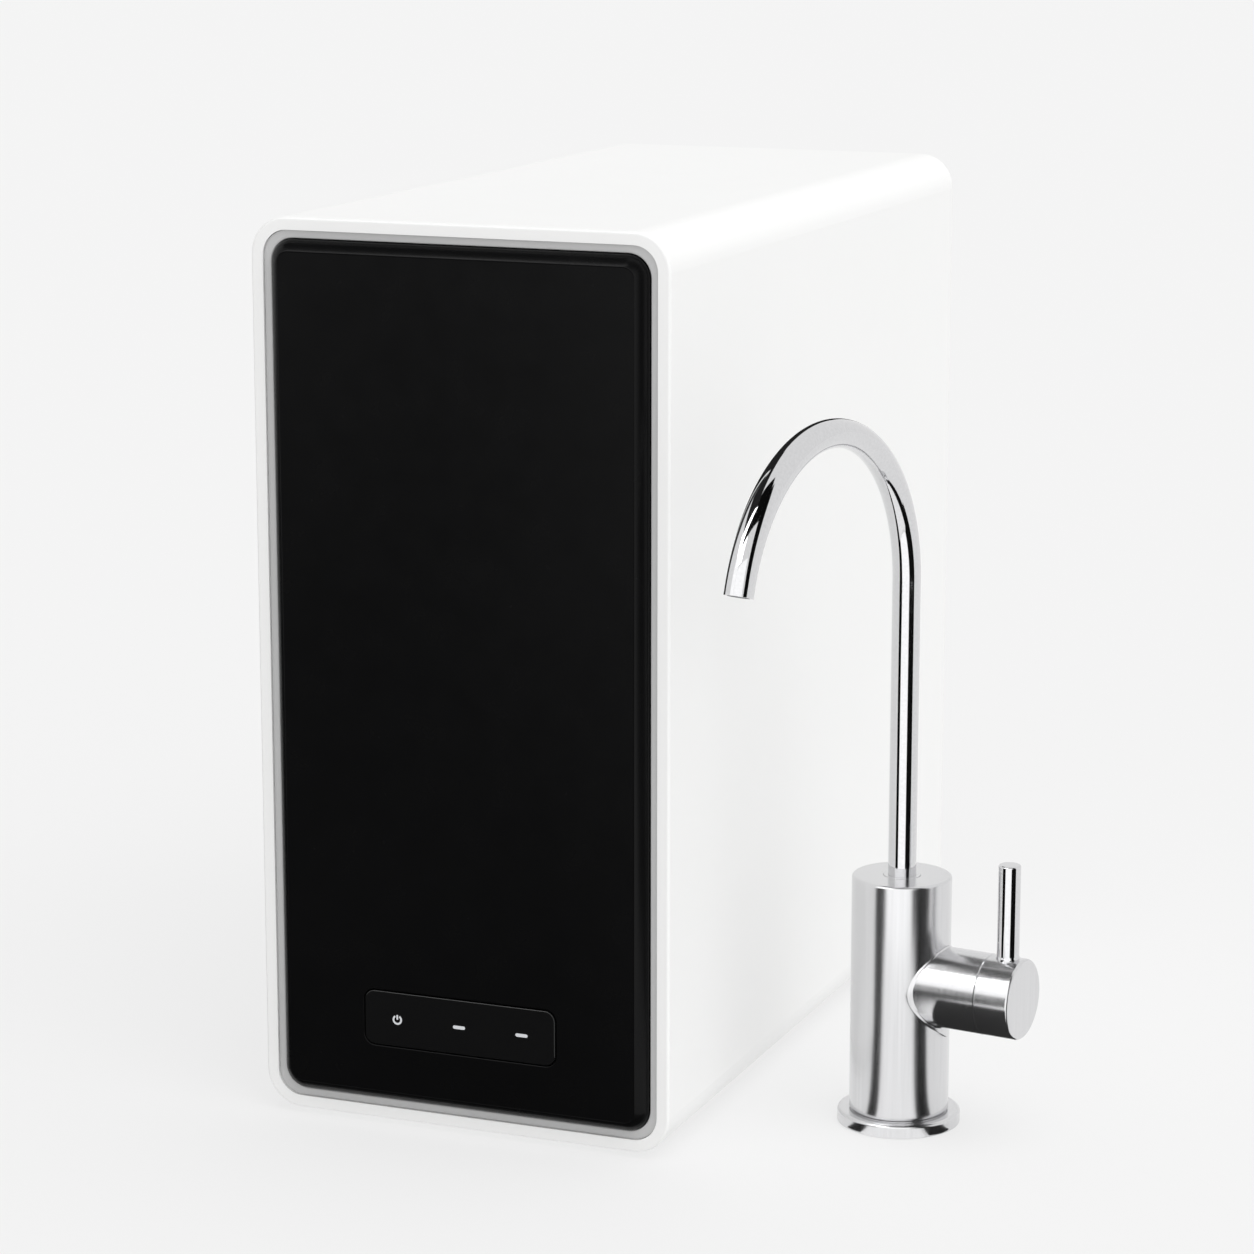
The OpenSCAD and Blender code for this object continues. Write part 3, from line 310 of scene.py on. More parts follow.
print("the camera lies towards", [round(c, 3) for c in TO_CAMERA])

# %% [markdown]
# A bright card in front makes the bright middle of each tube, and the dark ones beside it make the bands
# at either side. They reach from the flange to the far end, where some stand up.

# %% Cards round the faucet
NEAR, MIDWAY, FAR = 0.0275, 0.3, 1.3
DARK, SOFT, BRIGHT = 0.004, 1.05, 1.32


def lying(name, left, right, near, far, level):
    """A card on the floor, between two directions and two distances from the faucet."""
    corners = [spot(left, near, CARD_LIFT), spot(right, near, CARD_LIFT)]
    corners += [spot(right, far, CARD_LIFT), spot(left, far, CARD_LIFT)]
    card(name, corners, level)


def standing(name, left, right, low, high, level):
    """A card that stands at the far end, between two directions and two heights."""
    corners = [spot(left, FAR, low), spot(right, FAR, low), spot(right, FAR, high), spot(left, FAR, high)]
    card(name, corners, level)


lying("dark_left", -60, -40, NEAR, MIDWAY, DARK)
lying("soft_front", -39, 28, NEAR, MIDWAY, SOFT)
lying("dark_right", 32, 60, NEAR, MIDWAY, DARK)
lying("dark_left_far", -66, -36, MIDWAY, FAR, DARK)
lying("bright_front", -35, 21, MIDWAY, FAR, BRIGHT)
lying("dark_right_far", 23, 66, MIDWAY, FAR, DARK)
standing("bright_wall", -39, 21, 0, 0.9, BRIGHT)
standing("bright_left_wall", -66, -40, 0.36, 1.3, BRIGHT)
standing("dark_right_wall", 32, 60, 0, 2.4, DARK)
above = [spot(-50, 1.1, 1.0), spot(50, 1.1, 1.0), spot(50, 0.5, 1.9), spot(-50, 0.5, 1.9)]
card("dark_above", above, DARK)
print("cards so far:", len(cards))

# %% [markdown]
# The side arm lies flat, so it looks elsewhere: up to the left, where a dark card and another against
# the housing give its upper band, and down, where a small card close below gives the lower one. The
# card against the housing is clear from behind, or the white side would mirror it.

# %% Cards for the side arm
ARM_WAY, ARM_SIDE = Vector((0.99, -0.14, 0)), Vector((-0.14, -0.99, 0))
ARM_DARK = 0.02
UNDER_ARM = ((20, -2, 39.5), (20, 30, 57), (58, 30, 57), (58, -2, 39.5))
OVER_ARM, OVER_ARM_Z = ((-0.95, 0.35), (-0.25, 0.35), (-0.25, -0.45), (-0.95, -0.45)), 1.06
BESIDE_ARM = ((-0.158, 0.27), (0.13, 0.27), (0.13, 0.40), (-0.158, 0.40))
under = [FAUCET + (ARM_WAY * a + ARM_SIDE * b + Vector((0, 0, c))) * MM for a, b, c in UNDER_ARM]
card("dark_under_arm", under, ARM_DARK)
over = [FAUCET + TO_RIGHT * a + TO_CAMERA * b + Vector((0, 0, OVER_ARM_Z)) for a, b in OVER_ARM]
card("dark_over_arm", over, ARM_DARK)
beside = [(SHELL_HIGH.x + MM, y, z) for y, z in BESIDE_ARM]
card("dark_beside_arm", beside, ARM_DARK, one_sided=True)
print("cards so far:", len(cards))

# %% [markdown]
# The cover is a dark mirror too, though a dull one. Its flat face looks at the floor in front of it, where
# a dark strip keeps it black, and its upper shoulder looks up at a bright card, which draws the edge.

# %% Cards for the cover
STRIP_WAY = Vector((-0.363, -0.908, 0))
STRIP_LEN, STRIP_LEFT, STRIP_RIGHT = 2.2, 0.36, 0.10
STRIP_TOP = Vector((0, 0, 0.9))
strip_start = Vector((HOUSING_X, RIM_Y, 2 * CARD_LIFT))
strip_end = strip_start + STRIP_WAY * STRIP_LEN
to_left, to_right = Vector((-STRIP_LEFT, 0, 0)), Vector((STRIP_RIGHT, 0, 0))
end_left, end_right = strip_end + to_left, strip_end + to_right
card("dark_strip", [strip_start + to_left, strip_start + to_right, end_right, end_left], DARK)
card("dark_strip_end", [end_left, end_right, end_right + STRIP_TOP, end_left + STRIP_TOP], DARK)
EDGE_CARD, EDGE_LEVEL = Vector((HOUSING_X - 0.42, RIM_Y - 0.75, 1.15)), 4.6
EDGE_STEPS = ((-0.5, -0.25, -0.25), (0.5, -0.25, -0.25), (0.5, 0.25, 0.25), (-0.5, 0.25, 0.25))
card("edge_card", [EDGE_CARD + Vector(step) for step in EDGE_STEPS], EDGE_LEVEL)
print("cards so far:", len(cards))

# %% [markdown]
# The cover's left shoulder looks out over the floor at the left. A dark flag lies there, so that the
# shoulder is as black as the face and the cover ends in a crisp line.

# %% Flag at the left
FLAG_NEAR, FLAG_FAR, FLAG_FRONT, FLAG_BACK = 0.03, 2.4, -1.3, 1.0
flag_right, flag_left = SHELL_LOW.x - FLAG_NEAR, SHELL_LOW.x - FLAG_FAR
flag = [(flag_left, FLAG_FRONT), (flag_right, FLAG_FRONT), (flag_right, FLAG_BACK), (flag_left, FLAG_BACK)]
card("flag_at_left", [(x, y, CARD_LIFT) for x, y in flag], DARK)
print("all cards:", ", ".join(cards))

# %% [markdown]
# ## Finishes
#
# Each finish is a small node tree. Noise in Object coordinates breaks up tone, roughness and height at
# the scale of the real surface, and the patterns that the finishes share come first.

# %% Patterns
RAMP = (0.3, 0.7)


def noise(tree, scale, detail, stretch=(1, 1, 1)):
    """Noise in the piece's own coordinates, stretched where the grain has a direction."""
    place = add(tree, "TexCoord", {})
    mapping = add(tree, "Mapping", {"Scale": stretch})
    grain = add(tree, "TexNoise", {"Scale": scale, "Detail": detail})
    link(tree, place.outputs["Object"], mapping.inputs["Vector"])
    link(tree, mapping.outputs["Vector"], grain.inputs["Vector"])
    return grain.outputs["Fac"]


def spread(tree, value, low, high):
    """Maps a 0 to 1 value to the range from low to high."""
    node = add(tree, "MapRange", {"To Min": low, "To Max": high})
    link(tree, value, node.inputs["Value"])
    return node.outputs["Result"]


def tint(tree, value, colour, low, high):
    """A shade of a colour, whose factor runs from low to high as a value does."""
    ramp = add(tree, "ValToRGB", {})
    for element, factor, position in zip(ramp.color_ramp.elements, (low, high), RAMP):
        element.color = (*shade(colour, factor), 1)
        element.position = position
    link(tree, value, ramp.inputs["Fac"])
    return ramp.outputs["Color"]


def rough_up(tree, shader, value, strength, depth):
    """Height on the surface, as bump."""
    bump = add(tree, "Bump", {"Strength": strength, "Distance": depth})
    link(tree, value, bump.inputs["Height"])
    link(tree, bump.outputs["Normal"], shader.inputs["Normal"])


print("colours run over", RAMP, "of a pattern")

# %% [markdown]
# Most nodes are moulded plastic or rubber. A mould leaves a fine spark texture, too small to see but
# enough to break the gloss, so it is bump and not geometry. The tone drifts a little over a piece.

# %% Plastic and rubber
CLOUD, GLOSS, SPARK = 9, 60, 2600
GLOSS_SWING, SPARK_DEPTH = 0.05, 0.06 * MM
SCUFF, DULLNESS, SKIN, SKIN_DEPTH = 140, 300, 1800, 0.1 * MM


def moulded(name, colour, roughness, specular=0.4, grain=0.12, drift=0.03):
    """Injection moulded plastic: a fine spark texture and a faint drift of tone over the piece."""
    material, tree, shader = plain(name, colour, roughness, specular)
    tone = tint(tree, noise(tree, CLOUD, 3), colour, 1 - drift, 1 + drift)
    gloss = spread(tree, noise(tree, GLOSS, 3), roughness - GLOSS_SWING, roughness + GLOSS_SWING)
    link(tree, tone, shader.inputs["Base Color"])
    link(tree, gloss, shader.inputs["Roughness"])
    rough_up(tree, shader, noise(tree, SPARK, 2), grain, SPARK_DEPTH)
    return material


def soft_rubber(name, colour):
    """Black rubber: dull, with a fine skin and paler scuffs."""
    material, tree, shader = plain(name, colour, roughness=0.75, specular=0.25)
    tone = tint(tree, noise(tree, SCUFF, 4), colour, low=0.8, high=1.5)
    gloss = spread(tree, noise(tree, DULLNESS, 3), low=0.65, high=0.85)
    link(tree, tone, shader.inputs["Base Color"])
    link(tree, gloss, shader.inputs["Roughness"])
    rough_up(tree, shader, noise(tree, SKIN, 3), strength=0.3, depth=SKIN_DEPTH)
    return material


print("spark texture %.2f mm deep, skin of rubber %.2f mm" % (SPARK_DEPTH / MM, SKIN_DEPTH / MM))

# %% [markdown]
# Chrome, steel and brass are one shader with other numbers. What tells them apart is the colour and the
# way the tool went: noise that is stretched along one direction gives brushing or turning marks.

# %% Metal
MARKS, MARK_DEPTH, MARK_TONE = 900, 0.02 * MM, 0.03


def metal(name, colour, roughness, swing=0.02, stretch=(1, 1, 1), marks=0.0):
    """Metal with turning or brushing marks along one direction."""
    material, tree, shader = plain(name, colour, roughness)
    put(shader, {"Metallic": 1.0})
    streak = noise(tree, MARKS, 3, stretch)
    link(tree, spread(tree, streak, roughness - swing, roughness + swing), shader.inputs["Roughness"])
    tone = tint(tree, streak, colour, 1 - MARK_TONE, 1 + MARK_TONE)
    link(tree, tone, shader.inputs["Base Color"])
    if marks:
        rough_up(tree, shader, streak, marks, MARK_DEPTH)
    return material


print("marks of a tool %.2f mm deep" % (MARK_DEPTH / MM))

# %% [markdown]
# Some inner pieces have a texture by nature: the carbon block is pressed from grains, for which Voronoi
# cells are the nearest pattern, and membrane and rotor are wound, which a wave texture draws.

# %% Grains and windings
GRAIN_DEPTH, BAND_DEPTH, BAND_UNEVEN = 0.2 * MM, 0.2 * MM, 0.4


def grains(name, colour, scale):
    """A pressed block of grains: cells of slightly different tone with dark joints between them."""
    material, tree, shader = plain(name, colour, roughness=0.9, specular=0.2)
    cells = add(tree, "TexVoronoi", {"Scale": scale})
    link(tree, add(tree, "TexCoord", {}).outputs["Object"], cells.inputs["Vector"])
    cell = cells.outputs["Distance"]
    link(tree, tint(tree, cell, colour, low=1.8, high=0.5), shader.inputs["Base Color"])
    rough_up(tree, shader, cell, strength=0.5, depth=-GRAIN_DEPTH)
    return material


def wound(name, colour, scale, roughness, metallic=0.0):
    """A winding along the depth: fine bands side by side, a little uneven."""
    material, tree, shader = plain(name, colour, roughness)
    put(shader, {"Metallic": metallic})
    bands = add(tree, "TexWave", {"Scale": scale, "Distortion": BAND_UNEVEN})
    bands.bands_direction = "Y"
    link(tree, add(tree, "TexCoord", {}).outputs["Object"], bands.inputs["Vector"])
    band = bands.outputs["Fac"]
    link(tree, tint(tree, band, colour, low=0.7, high=1.1), shader.inputs["Base Color"])
    rough_up(tree, shader, band, strength=0.4, depth=BAND_DEPTH)
    return material


print("grains %.1f mm and bands %.1f mm deep" % (GRAIN_DEPTH / MM, BAND_DEPTH / MM))

# %% [markdown]
# The record names a slot for every node, and each slot gets its finish here. The shell stays below pure
# white, because the light on it has to show its form. The cover is nearly black and only faintly glossy.

# %% One finish for each slot
WHITE, CHROME = (0.88, 0.88, 0.875), (0.72, 0.72, 0.73)
LIGHT_COLOUR, LIGHT_GLOW = (0.9, 0.93, 1.0, 1), 0.06

looks = {
    moulded: {  # colour, roughness, specular, grain, drift of tone
        "shell_white": (WHITE, 0.38, 0.35, 0.05, 0.004),
        # frame_grey is partly the tray's own grey and partly painted shade: it is darker than the light
        # tray, so that the groove round the cover looks shaded
        "frame_grey": ((0.55, 0.55, 0.55), 0.42, 0.4),
        "cover_black": ((0.0034, 0.0034, 0.0036), 0.26, 0.11, 0.06, 0.1),
        "lens_black": ((0.0060, 0.0060, 0.0062), 0.16, 0.45, 0.02, 0.1),
        "chassis_grey": ((0.64, 0.65, 0.66), 0.5),
        "manifold_ivory": ((0.76, 0.74, 0.67), 0.45),
        "filter_white": ((0.82, 0.82, 0.81), 0.35),
        "cap_blue": ((0.11, 0.22, 0.36), 0.42),
        "cap_grey": ((0.24, 0.26, 0.29), 0.42),
        "pump_black": ((0.02, 0.022, 0.025), 0.45),
        "coil_blue": ((0.03, 0.07, 0.15), 0.4),
        "collet_blue": ((0.03, 0.15, 0.42), 0.3),
        "collet_white": ((0.82, 0.82, 0.81), 0.3),
        "collet_red": ((0.45, 0.04, 0.03), 0.3),
        "bush_grey": ((0.60, 0.61, 0.62), 0.4),
        "hose_white": ((0.74, 0.75, 0.75), 0.35),
        "ceramic": ((0.80, 0.78, 0.72), 0.15),
        "board_green": ((0.015, 0.10, 0.05), 0.4),
        "light_white": ((0.62, 0.63, 0.65), 0.3),
    },
    metal: {  # colour, roughness, its swing, stretch and height of the marks
        "screw_steel": ((0.62, 0.63, 0.65), 0.28, 0.06, (1, 1, 12), 0.1),
        "motor_grey": ((0.30, 0.31, 0.33), 0.36, 0.08, (1, 14, 1), 0.15),
        "magnet_dark": ((0.06, 0.06, 0.065), 0.5, 0.1),
        "brass": ((0.62, 0.45, 0.18), 0.25, 0.06, (8, 1, 1), 0.1),
        "chrome": (CHROME, 0.06, 0.02),
        "chrome_satin": (CHROME, 0.21, 0.04, (1, 1, 0.02), 0.06),
    },
    wound: {  # colour, scale of the bands, roughness, metallic
        "rotor_copper": ((0.62, 0.30, 0.14), 320, 0.35, 1.0),
        "membrane_cream": ((0.68, 0.63, 0.50), 90, 0.6),
    },
    soft_rubber: {"rubber_black": ((0.018, 0.018, 0.02),)},
    grains: {"carbon_black": ((0.015, 0.015, 0.016), 700)},
}
finishes = {slot: make(slot, *look) for make, slots in looks.items() for slot, look in slots.items()}
light = finishes["light_white"].node_tree.nodes["Principled BSDF"]
put(light, {"Emission Color": LIGHT_COLOUR, "Emission Strength": LIGHT_GLOW})
print(len(finishes), "finishes")

# %% [markdown]
# Every node of the frame is dressed, also where a piece replaces it later, so that nothing is left bare.

# %% Dress the frame's own nodes
slot_of = {part["node"]: part["material_slot"] for part in frame["record"]["subparts"]}
for name, node in nodes.items():
    node.data.materials.clear()
    node.data.materials.append(finishes[slot_of[name]])
print("dressed", len(slot_of), "nodes")

# %% [markdown]
# ## Workshop tools
#
# An operator works on all that is selected, so each step first selects what it means and nothing else. The
# helpers below do that by a test on place or normal, which keeps working when a size changes.

# %% Selecting and closing
TOUCH = 0.002 * MM


def take(piece):
    """Makes one piece the only selected and active object."""
    start_clean()
    piece.select_set(True)
    bpy.context.view_layer.objects.active = piece


def shape(name):
    """Names a new primitive, puts its place and size into its mesh and opens it, with all selected."""
    piece = bpy.context.object
    piece.name = name
    bpy.ops.object.transform_apply(location=True, rotation=True, scale=True)
    bpy.ops.object.mode_set(mode="EDIT")
    bpy.ops.mesh.select_mode(type="VERT")
    bpy.ops.mesh.select_all(action="SELECT")
    return piece


def pick(kind, test):
    """In edit mode, selects only the vertices, edges or faces that pass a test."""
    bpy.ops.mesh.select_mode(type=kind)
    bpy.ops.mesh.select_all(action="DESELECT")
    mesh = bmesh.from_edit_mesh(bpy.context.object.data)
    for item in {"VERT": mesh.verts, "EDGE": mesh.edges, "FACE": mesh.faces}[kind]:
        if test(item):
            item.select_set(True)
    mesh.select_flush_mode()
    bmesh.update_edit_mesh(bpy.context.object.data)


def at_depth(item, y):
    """True for an edge or face that lies wholly at one depth."""
    return all(abs(vert.co.y - y) < TOUCH for vert in item.verts)


def close_up():
    """In edit mode, merges doubles and turns all faces outwards."""
    bpy.ops.mesh.select_all(action="SELECT")
    bpy.ops.mesh.remove_doubles(threshold=TOUCH / 2)
    bpy.ops.mesh.normals_make_consistent(inside=False)


print("points closer than %.4f mm count as one" % (TOUCH / MM))

# %% [markdown]
# A modifier is added, set and applied at once, so that every piece ends as a plain mesh. What repeats is
# modelled once: its copies get meshes of their own and are moved inside them, since each finished
# object stays at the origin.

# %% Modifiers and copies


def apply(piece, kind, **settings):
    """Adds a modifier with its settings and applies it."""
    take(piece)
    modifier = piece.modifiers.new(kind.lower(), kind)
    for key, value in settings.items():
        setattr(modifier, key, value)
    bpy.ops.object.modifier_apply(modifier=modifier.name)


def boolean(piece, tool, operation):
    """Cuts a tool out of a piece, or adds it, and removes the tool."""
    apply(piece, "BOOLEAN", object=tool, operation=operation, solver="EXACT")
    bpy.data.objects.remove(tool)


def copy_of(piece, name, step):
    """A copy of a finished shape with a mesh of its own, moved by a step."""
    copy = bpy.data.objects.new(name, piece.data.copy())
    bpy.context.collection.objects.link(copy)
    copy.data.transform(Matrix.Translation(step))
    return copy


def join(pieces, name):
    """Several pieces made one object."""
    start_clean()
    for piece in pieces:
        piece.select_set(True)
    bpy.context.view_layer.objects.active = pieces[0]
    bpy.ops.object.join()
    bpy.context.object.name = name
    return bpy.context.object


# %% [markdown]
# Most pieces of the faucet are turned, so one helper works as a lathe: half of the section is drawn
# vertex by vertex, its corners are rounded by a vertex bevel, and Spin carries it once round the axis.
# Plates such as the lens start as a plane with rounded corners, and a few tools and bars as a block.

# %% Lathe, plate and block
TURN_STEPS, CORNER_STEPS = 128, 6


def lathe(name, outline, soft, foot, along, steps=TURN_STEPS):
    """A turned piece, from (radius, distance along the axis) points. The numbers of the corners to be
    rounded come with their radius in soft."""
    along = Vector(along).normalized()
    out = along.orthogonal().normalized()
    points = [foot + out * radius + along * distance for radius, distance in outline]
    start_clean()
    bpy.ops.mesh.primitive_plane_add(size=MM, location=points[0])
    piece = shape(name)
    bpy.ops.mesh.merge(type="CENTER")
    for before, after in zip(points, points[1:]):
        bpy.ops.mesh.extrude_vertices_move(TRANSFORM_OT_translate={"value": after - before})
    for number, radius in soft.items():
        pick("VERT", lambda vert: (vert.co - points[number]).length < TOUCH)
        bpy.ops.mesh.bevel(affect="VERTICES", offset=radius, segments=CORNER_STEPS)
    bpy.ops.mesh.select_all(action="SELECT")
    bpy.ops.mesh.spin(steps=steps, angle=math.tau, center=foot, axis=along)
    close_up()
    start_clean()
    return piece


def front_plate(name, centre, width, height, radius):
    """A flat face with round corners that looks to the front. It stays in edit mode, selected."""
    start_clean()
    bpy.ops.mesh.primitive_plane_add(size=1, location=centre, rotation=(math.pi / 2, 0, 0))
    bpy.context.object.scale = (width, height, 1)
    piece = shape(name)
    bpy.ops.mesh.bevel(affect="VERTICES", offset=radius, segments=2 * CORNER_STEPS)
    bpy.ops.mesh.select_mode(type="FACE")
    bpy.ops.mesh.select_all(action="SELECT")
    return piece


def block(name, centre, size):
    """A plain box to be shaped further. It stays in edit mode."""
    start_clean()
    bpy.ops.mesh.primitive_cube_add(size=1, location=centre)
    bpy.context.object.scale = size
    return shape(name)


def push(x, y, z):
    """Extrudes the selected face by a step."""
    bpy.ops.mesh.extrude_region_move(TRANSFORM_OT_translate={"value": (x, y, z)})


print("lathe with", TURN_STEPS, "steps to a turn")

# %% [markdown]
# A finished piece takes the place of a node: it rides on the same body and wears the same slot. Weighted
# normals keep its flats flat beside their rounded edges, because a mirror finish shows the slightest swell.

# %% Handing a piece over
SMOOTH_ANGLE = math.radians(40)


def stand_for(piece, name, slot=None):
    """Shades a finished piece and gives it a finish and the body of the node that it replaces."""
    take(piece)
    bpy.ops.object.shade_smooth_by_angle(angle=SMOOTH_ANGLE)
    apply(piece, "WEIGHTED_NORMAL", keep_sharp=True)
    slot = slot or slot_of[name]
    piece.data.materials.clear()
    piece.data.materials.append(finishes[slot])
    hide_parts(name)
    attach(piece, body_of(nodes[name])[0])
    print("made", piece.name, "with", len(piece.data.polygons), "faces, in", slot)


print("edges sharper than %.0f degrees stay sharp" % math.degrees(SMOOTH_ANGLE))

# %% [markdown]
# ## The front cover
#
# The black cover is one moulding: a flat face and a bowed shoulder that runs round it. A single bevel
# would give a quarter circle, but this shoulder is a flatter arc that meets the face at a soft crease.
# So a row of insets climbs the arc in small steps from the back, and Solidify gives the wall.

# %% Front cover
SHOULDER_W, SHOULDER_RISE, SHOULDER_BOW = 4.5 * MM, 5.0 * MM, 10.3 * MM
COVER_CORNER, COVER_WALL = 9.5 * MM, 2.4 * MM
CREASE, CREST_W, CREST_H = 0.2 * MM, 0.5 * MM, 0.2 * MM
BOW_STEPS = 8

cover_low, cover_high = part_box("front_cover")
cover_mid = (cover_low + cover_high) / 2
cover_size = cover_high - cover_low
chord = math.hypot(SHOULDER_W, SHOULDER_RISE)
back_off = math.sqrt(SHOULDER_BOW**2 - chord**2 / 4) / chord
centre_in = SHOULDER_W / 2 + back_off * SHOULDER_RISE
centre_up = SHOULDER_RISE / 2 - back_off * SHOULDER_W
bow_start = math.atan2(-centre_up, centre_in)
bow_end = math.atan2(SHOULDER_RISE - centre_up, centre_in - SHOULDER_W)
bow_angles = [bow_start + (bow_end - bow_start) * i / BOW_STEPS for i in range(BOW_STEPS + 1)]
shoulder = [
    (centre_in - SHOULDER_BOW * math.cos(a), centre_up + SHOULDER_BOW * math.sin(a)) for a in bow_angles
]

skirt = Vector((cover_mid.x, cover_high.y, cover_mid.z))
cover = front_plate("cover", skirt, cover_size.x, cover_size.z, COVER_CORNER)
push(0, cover_low.y + SHOULDER_RISE - cover_high.y, 0)
for (inset, rise), (next_inset, next_rise) in zip(shoulder, shoulder[1:]):
    bpy.ops.mesh.inset(thickness=next_inset - inset, depth=next_rise - rise, use_individual=True)
bpy.ops.mesh.inset(thickness=CREST_W, depth=-CREST_H, use_individual=True)
face_y = cover_low.y + CREST_H
pick("EDGE", lambda edge: at_depth(edge, cover_low.y))
bpy.ops.mesh.bevel(offset=CREASE, segments=3)
pick("FACE", lambda face: at_depth(face, cover_high.y))
bpy.ops.mesh.delete(type="FACE")
close_up()
apply(cover, "SOLIDIFY", thickness=COVER_WALL, offset=-1)
print("cover wall", [round(side / MM, 1) for side in cover.dimensions], "mm")

# %% [markdown]
# The touch panel looks through a window low in the cover. It could be drawn into the plate from the
# start, but the insets would then follow it too, so a rounded cutter opens it afterwards, and its edge
# is broken.

# %% Window of the cover
LENS_GAP, WINDOW_CORNER, WINDOW_EDGE = 0.5 * MM, 5.0 * MM, 0.45 * MM

lens_low, lens_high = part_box("control_lens")
lens_mid = (lens_low + lens_high) / 2
lens_size = lens_high - lens_low
window_w = lens_size.x + 2 * LENS_GAP
window_h = lens_size.z + 2 * LENS_GAP


def window_edge(edge):
    """True for the front edges of the window, which lie inside the cover's flat face."""
    half_w, half_h = window_w / 2 + TOUCH, window_h / 2 + TOUCH
    steps = [vert.co - lens_mid for vert in edge.verts]
    return at_depth(edge, face_y) and all(abs(s.x) < half_w and abs(s.z) < half_h for s in steps)


cutter_at = Vector((lens_mid.x, cover_low.y - COVER_WALL, lens_mid.z))
cutter = front_plate("window_cutter", cutter_at, window_w, window_h, WINDOW_CORNER)
push(0, 3 * COVER_WALL, 0)
close_up()
boolean(cover, cutter, "DIFFERENCE")
take(cover)
bpy.ops.object.mode_set(mode="EDIT")
pick("EDGE", window_edge)
bpy.ops.mesh.bevel(offset=WINDOW_EDGE, segments=3)
print("window %.1f by %.1f mm" % (window_w / MM, window_h / MM))

# %% [markdown]
# A thin plate of this length needs stiffeners, and bosses carry the four studs that plug into the
# housing. They show when the cover is pulled off. One of each is modelled and the others are copies, sunk a
# little into the wall so that the union has no faces that only touch.

# %% Stiffeners of the cover
RIB_W, RIB_DEPTH, RIB_INSET, RIB_EDGE = 2.0 * MM, 4.0 * MM, 9.0 * MM, 0.4 * MM
RIB_HEIGHTS = [78 * MM, 252 * MM, 340 * MM]
SINK = 0.25 * MM

inner_y = face_y + COVER_WALL
rib_at = (cover_mid.x, inner_y + RIB_DEPTH / 2 - SINK, RIB_HEIGHTS[0])
rib = block("rib", rib_at, (cover_size.x - 2 * RIB_INSET, RIB_DEPTH, RIB_W))
pick("EDGE", lambda edge: all(vert.co.y > inner_y + MM for vert in edge.verts))
bpy.ops.mesh.bevel(offset=RIB_EDGE, segments=2)
start_clean()
rib_steps = [Vector((0, 0, height - RIB_HEIGHTS[0])) for height in RIB_HEIGHTS[1:]]
ribs = [rib] + [copy_of(rib, "rib", step) for step in rib_steps]
for rib in ribs:
    boolean(cover, rib, "UNION")
print("stiffeners", len(ribs))

# %% Bosses of the cover
BOSS_R, BOSS_END, BOSS_EDGE, BOSS_SIDES = 4.0 * MM, 8.4 * MM, 0.4 * MM, 48

stud_low, stud_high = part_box("cover_studs")
across = Vector((stud_high.x - stud_low.x - 2 * BOSS_R, 0, 0))
upwards = Vector((0, 0, stud_high.z - stud_low.z - 2 * BOSS_R))
boss_len = BOSS_END - COVER_WALL + SINK
boss_outline = [(0, 0), (BOSS_R, 0), (BOSS_R, boss_len), (0, boss_len)]
boss_foot = Vector((stud_low.x + BOSS_R, inner_y - SINK, stud_low.z + BOSS_R))
boss = lathe("boss", boss_outline, {2: BOSS_EDGE}, boss_foot, (0, 1, 0), BOSS_SIDES)
bosses = [boss] + [copy_of(boss, "boss", step) for step in (upwards, across, across + upwards)]
for boss in bosses:
    boolean(cover, boss, "UNION")
print("bosses", len(bosses))
stand_for(cover, "front_cover")

# %% [markdown]
# ## The touch panel
#
# Behind the window lies a smooth dark lens. It is a plate with round corners, extruded to its thickness,
# and its front edge is bevelled, since that fine line is all that sets it off from the black cover.

# %% Lens
LENS_CORNER, LENS_EDGE = 4.5 * MM, 0.45 * MM

lens_front = Vector((lens_mid.x, lens_low.y, lens_mid.z))
lens = front_plate("lens", lens_front, lens_size.x, lens_size.z, LENS_CORNER)
push(0, lens_size.y, 0)
close_up()
pick("EDGE", lambda edge: at_depth(edge, lens_low.y))
bpy.ops.mesh.bevel(offset=LENS_EDGE, segments=4)
stand_for(lens, "control_lens")

# %% [markdown]
# Three small symbols are lit: a power sign and two bars. On the real panel they are light guides that
# shine through the lens. A picture would be flat and soft, so each is a piece of its own, a hair proud of
# the lens. The ring of the power sign is a small square spun part of the way round.

# %% Power sign
PROUD, GUIDE_DEPTH, STROKE = 0.05 * MM, 0.6 * MM, 0.8 * MM
SYMBOL_GAP, SYMBOL_STEPS, SYMBOL_SHARE = math.radians(66), 48, 0.9
ROUND_END = 0.499

symbol_low, symbol_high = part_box("power_light")
symbol = (symbol_low + symbol_high) / 2
symbol.y = lens_low.y
symbol_r = SYMBOL_SHARE * (symbol_high.x - symbol_low.x) / 2
first_turn = Matrix.Rotation(SYMBOL_GAP / 2, 3, "Y") @ Vector((0, 0, symbol_r - STROKE / 2))
start_clean()
ring_start = symbol + first_turn + Vector((0, (GUIDE_DEPTH - PROUD) / 2, 0))
bpy.ops.mesh.primitive_plane_add(size=1, location=ring_start)
bpy.context.object.scale = (STROKE, GUIDE_DEPTH + PROUD, 1)
bpy.context.object.rotation_euler = (0, SYMBOL_GAP / 2 - math.pi / 2, 0)
ring = shape("power_symbol")
ring_turn = math.tau - SYMBOL_GAP
bpy.ops.mesh.spin(steps=SYMBOL_STEPS, angle=ring_turn, center=symbol, axis=(0, -1, 0))
close_up()
start_clean()
print("ring", [round(side / MM, 2) for side in ring.dimensions], "mm")


def light_bar(name, centre, width, height):
    """A lit bar with round ends, standing a hair out of the lens."""
    front = centre - Vector((0, PROUD, 0))
    piece = front_plate(name, front, width, height, min(width, height) * ROUND_END)
    push(0, GUIDE_DEPTH + PROUD, 0)
    close_up()
    start_clean()
    return piece


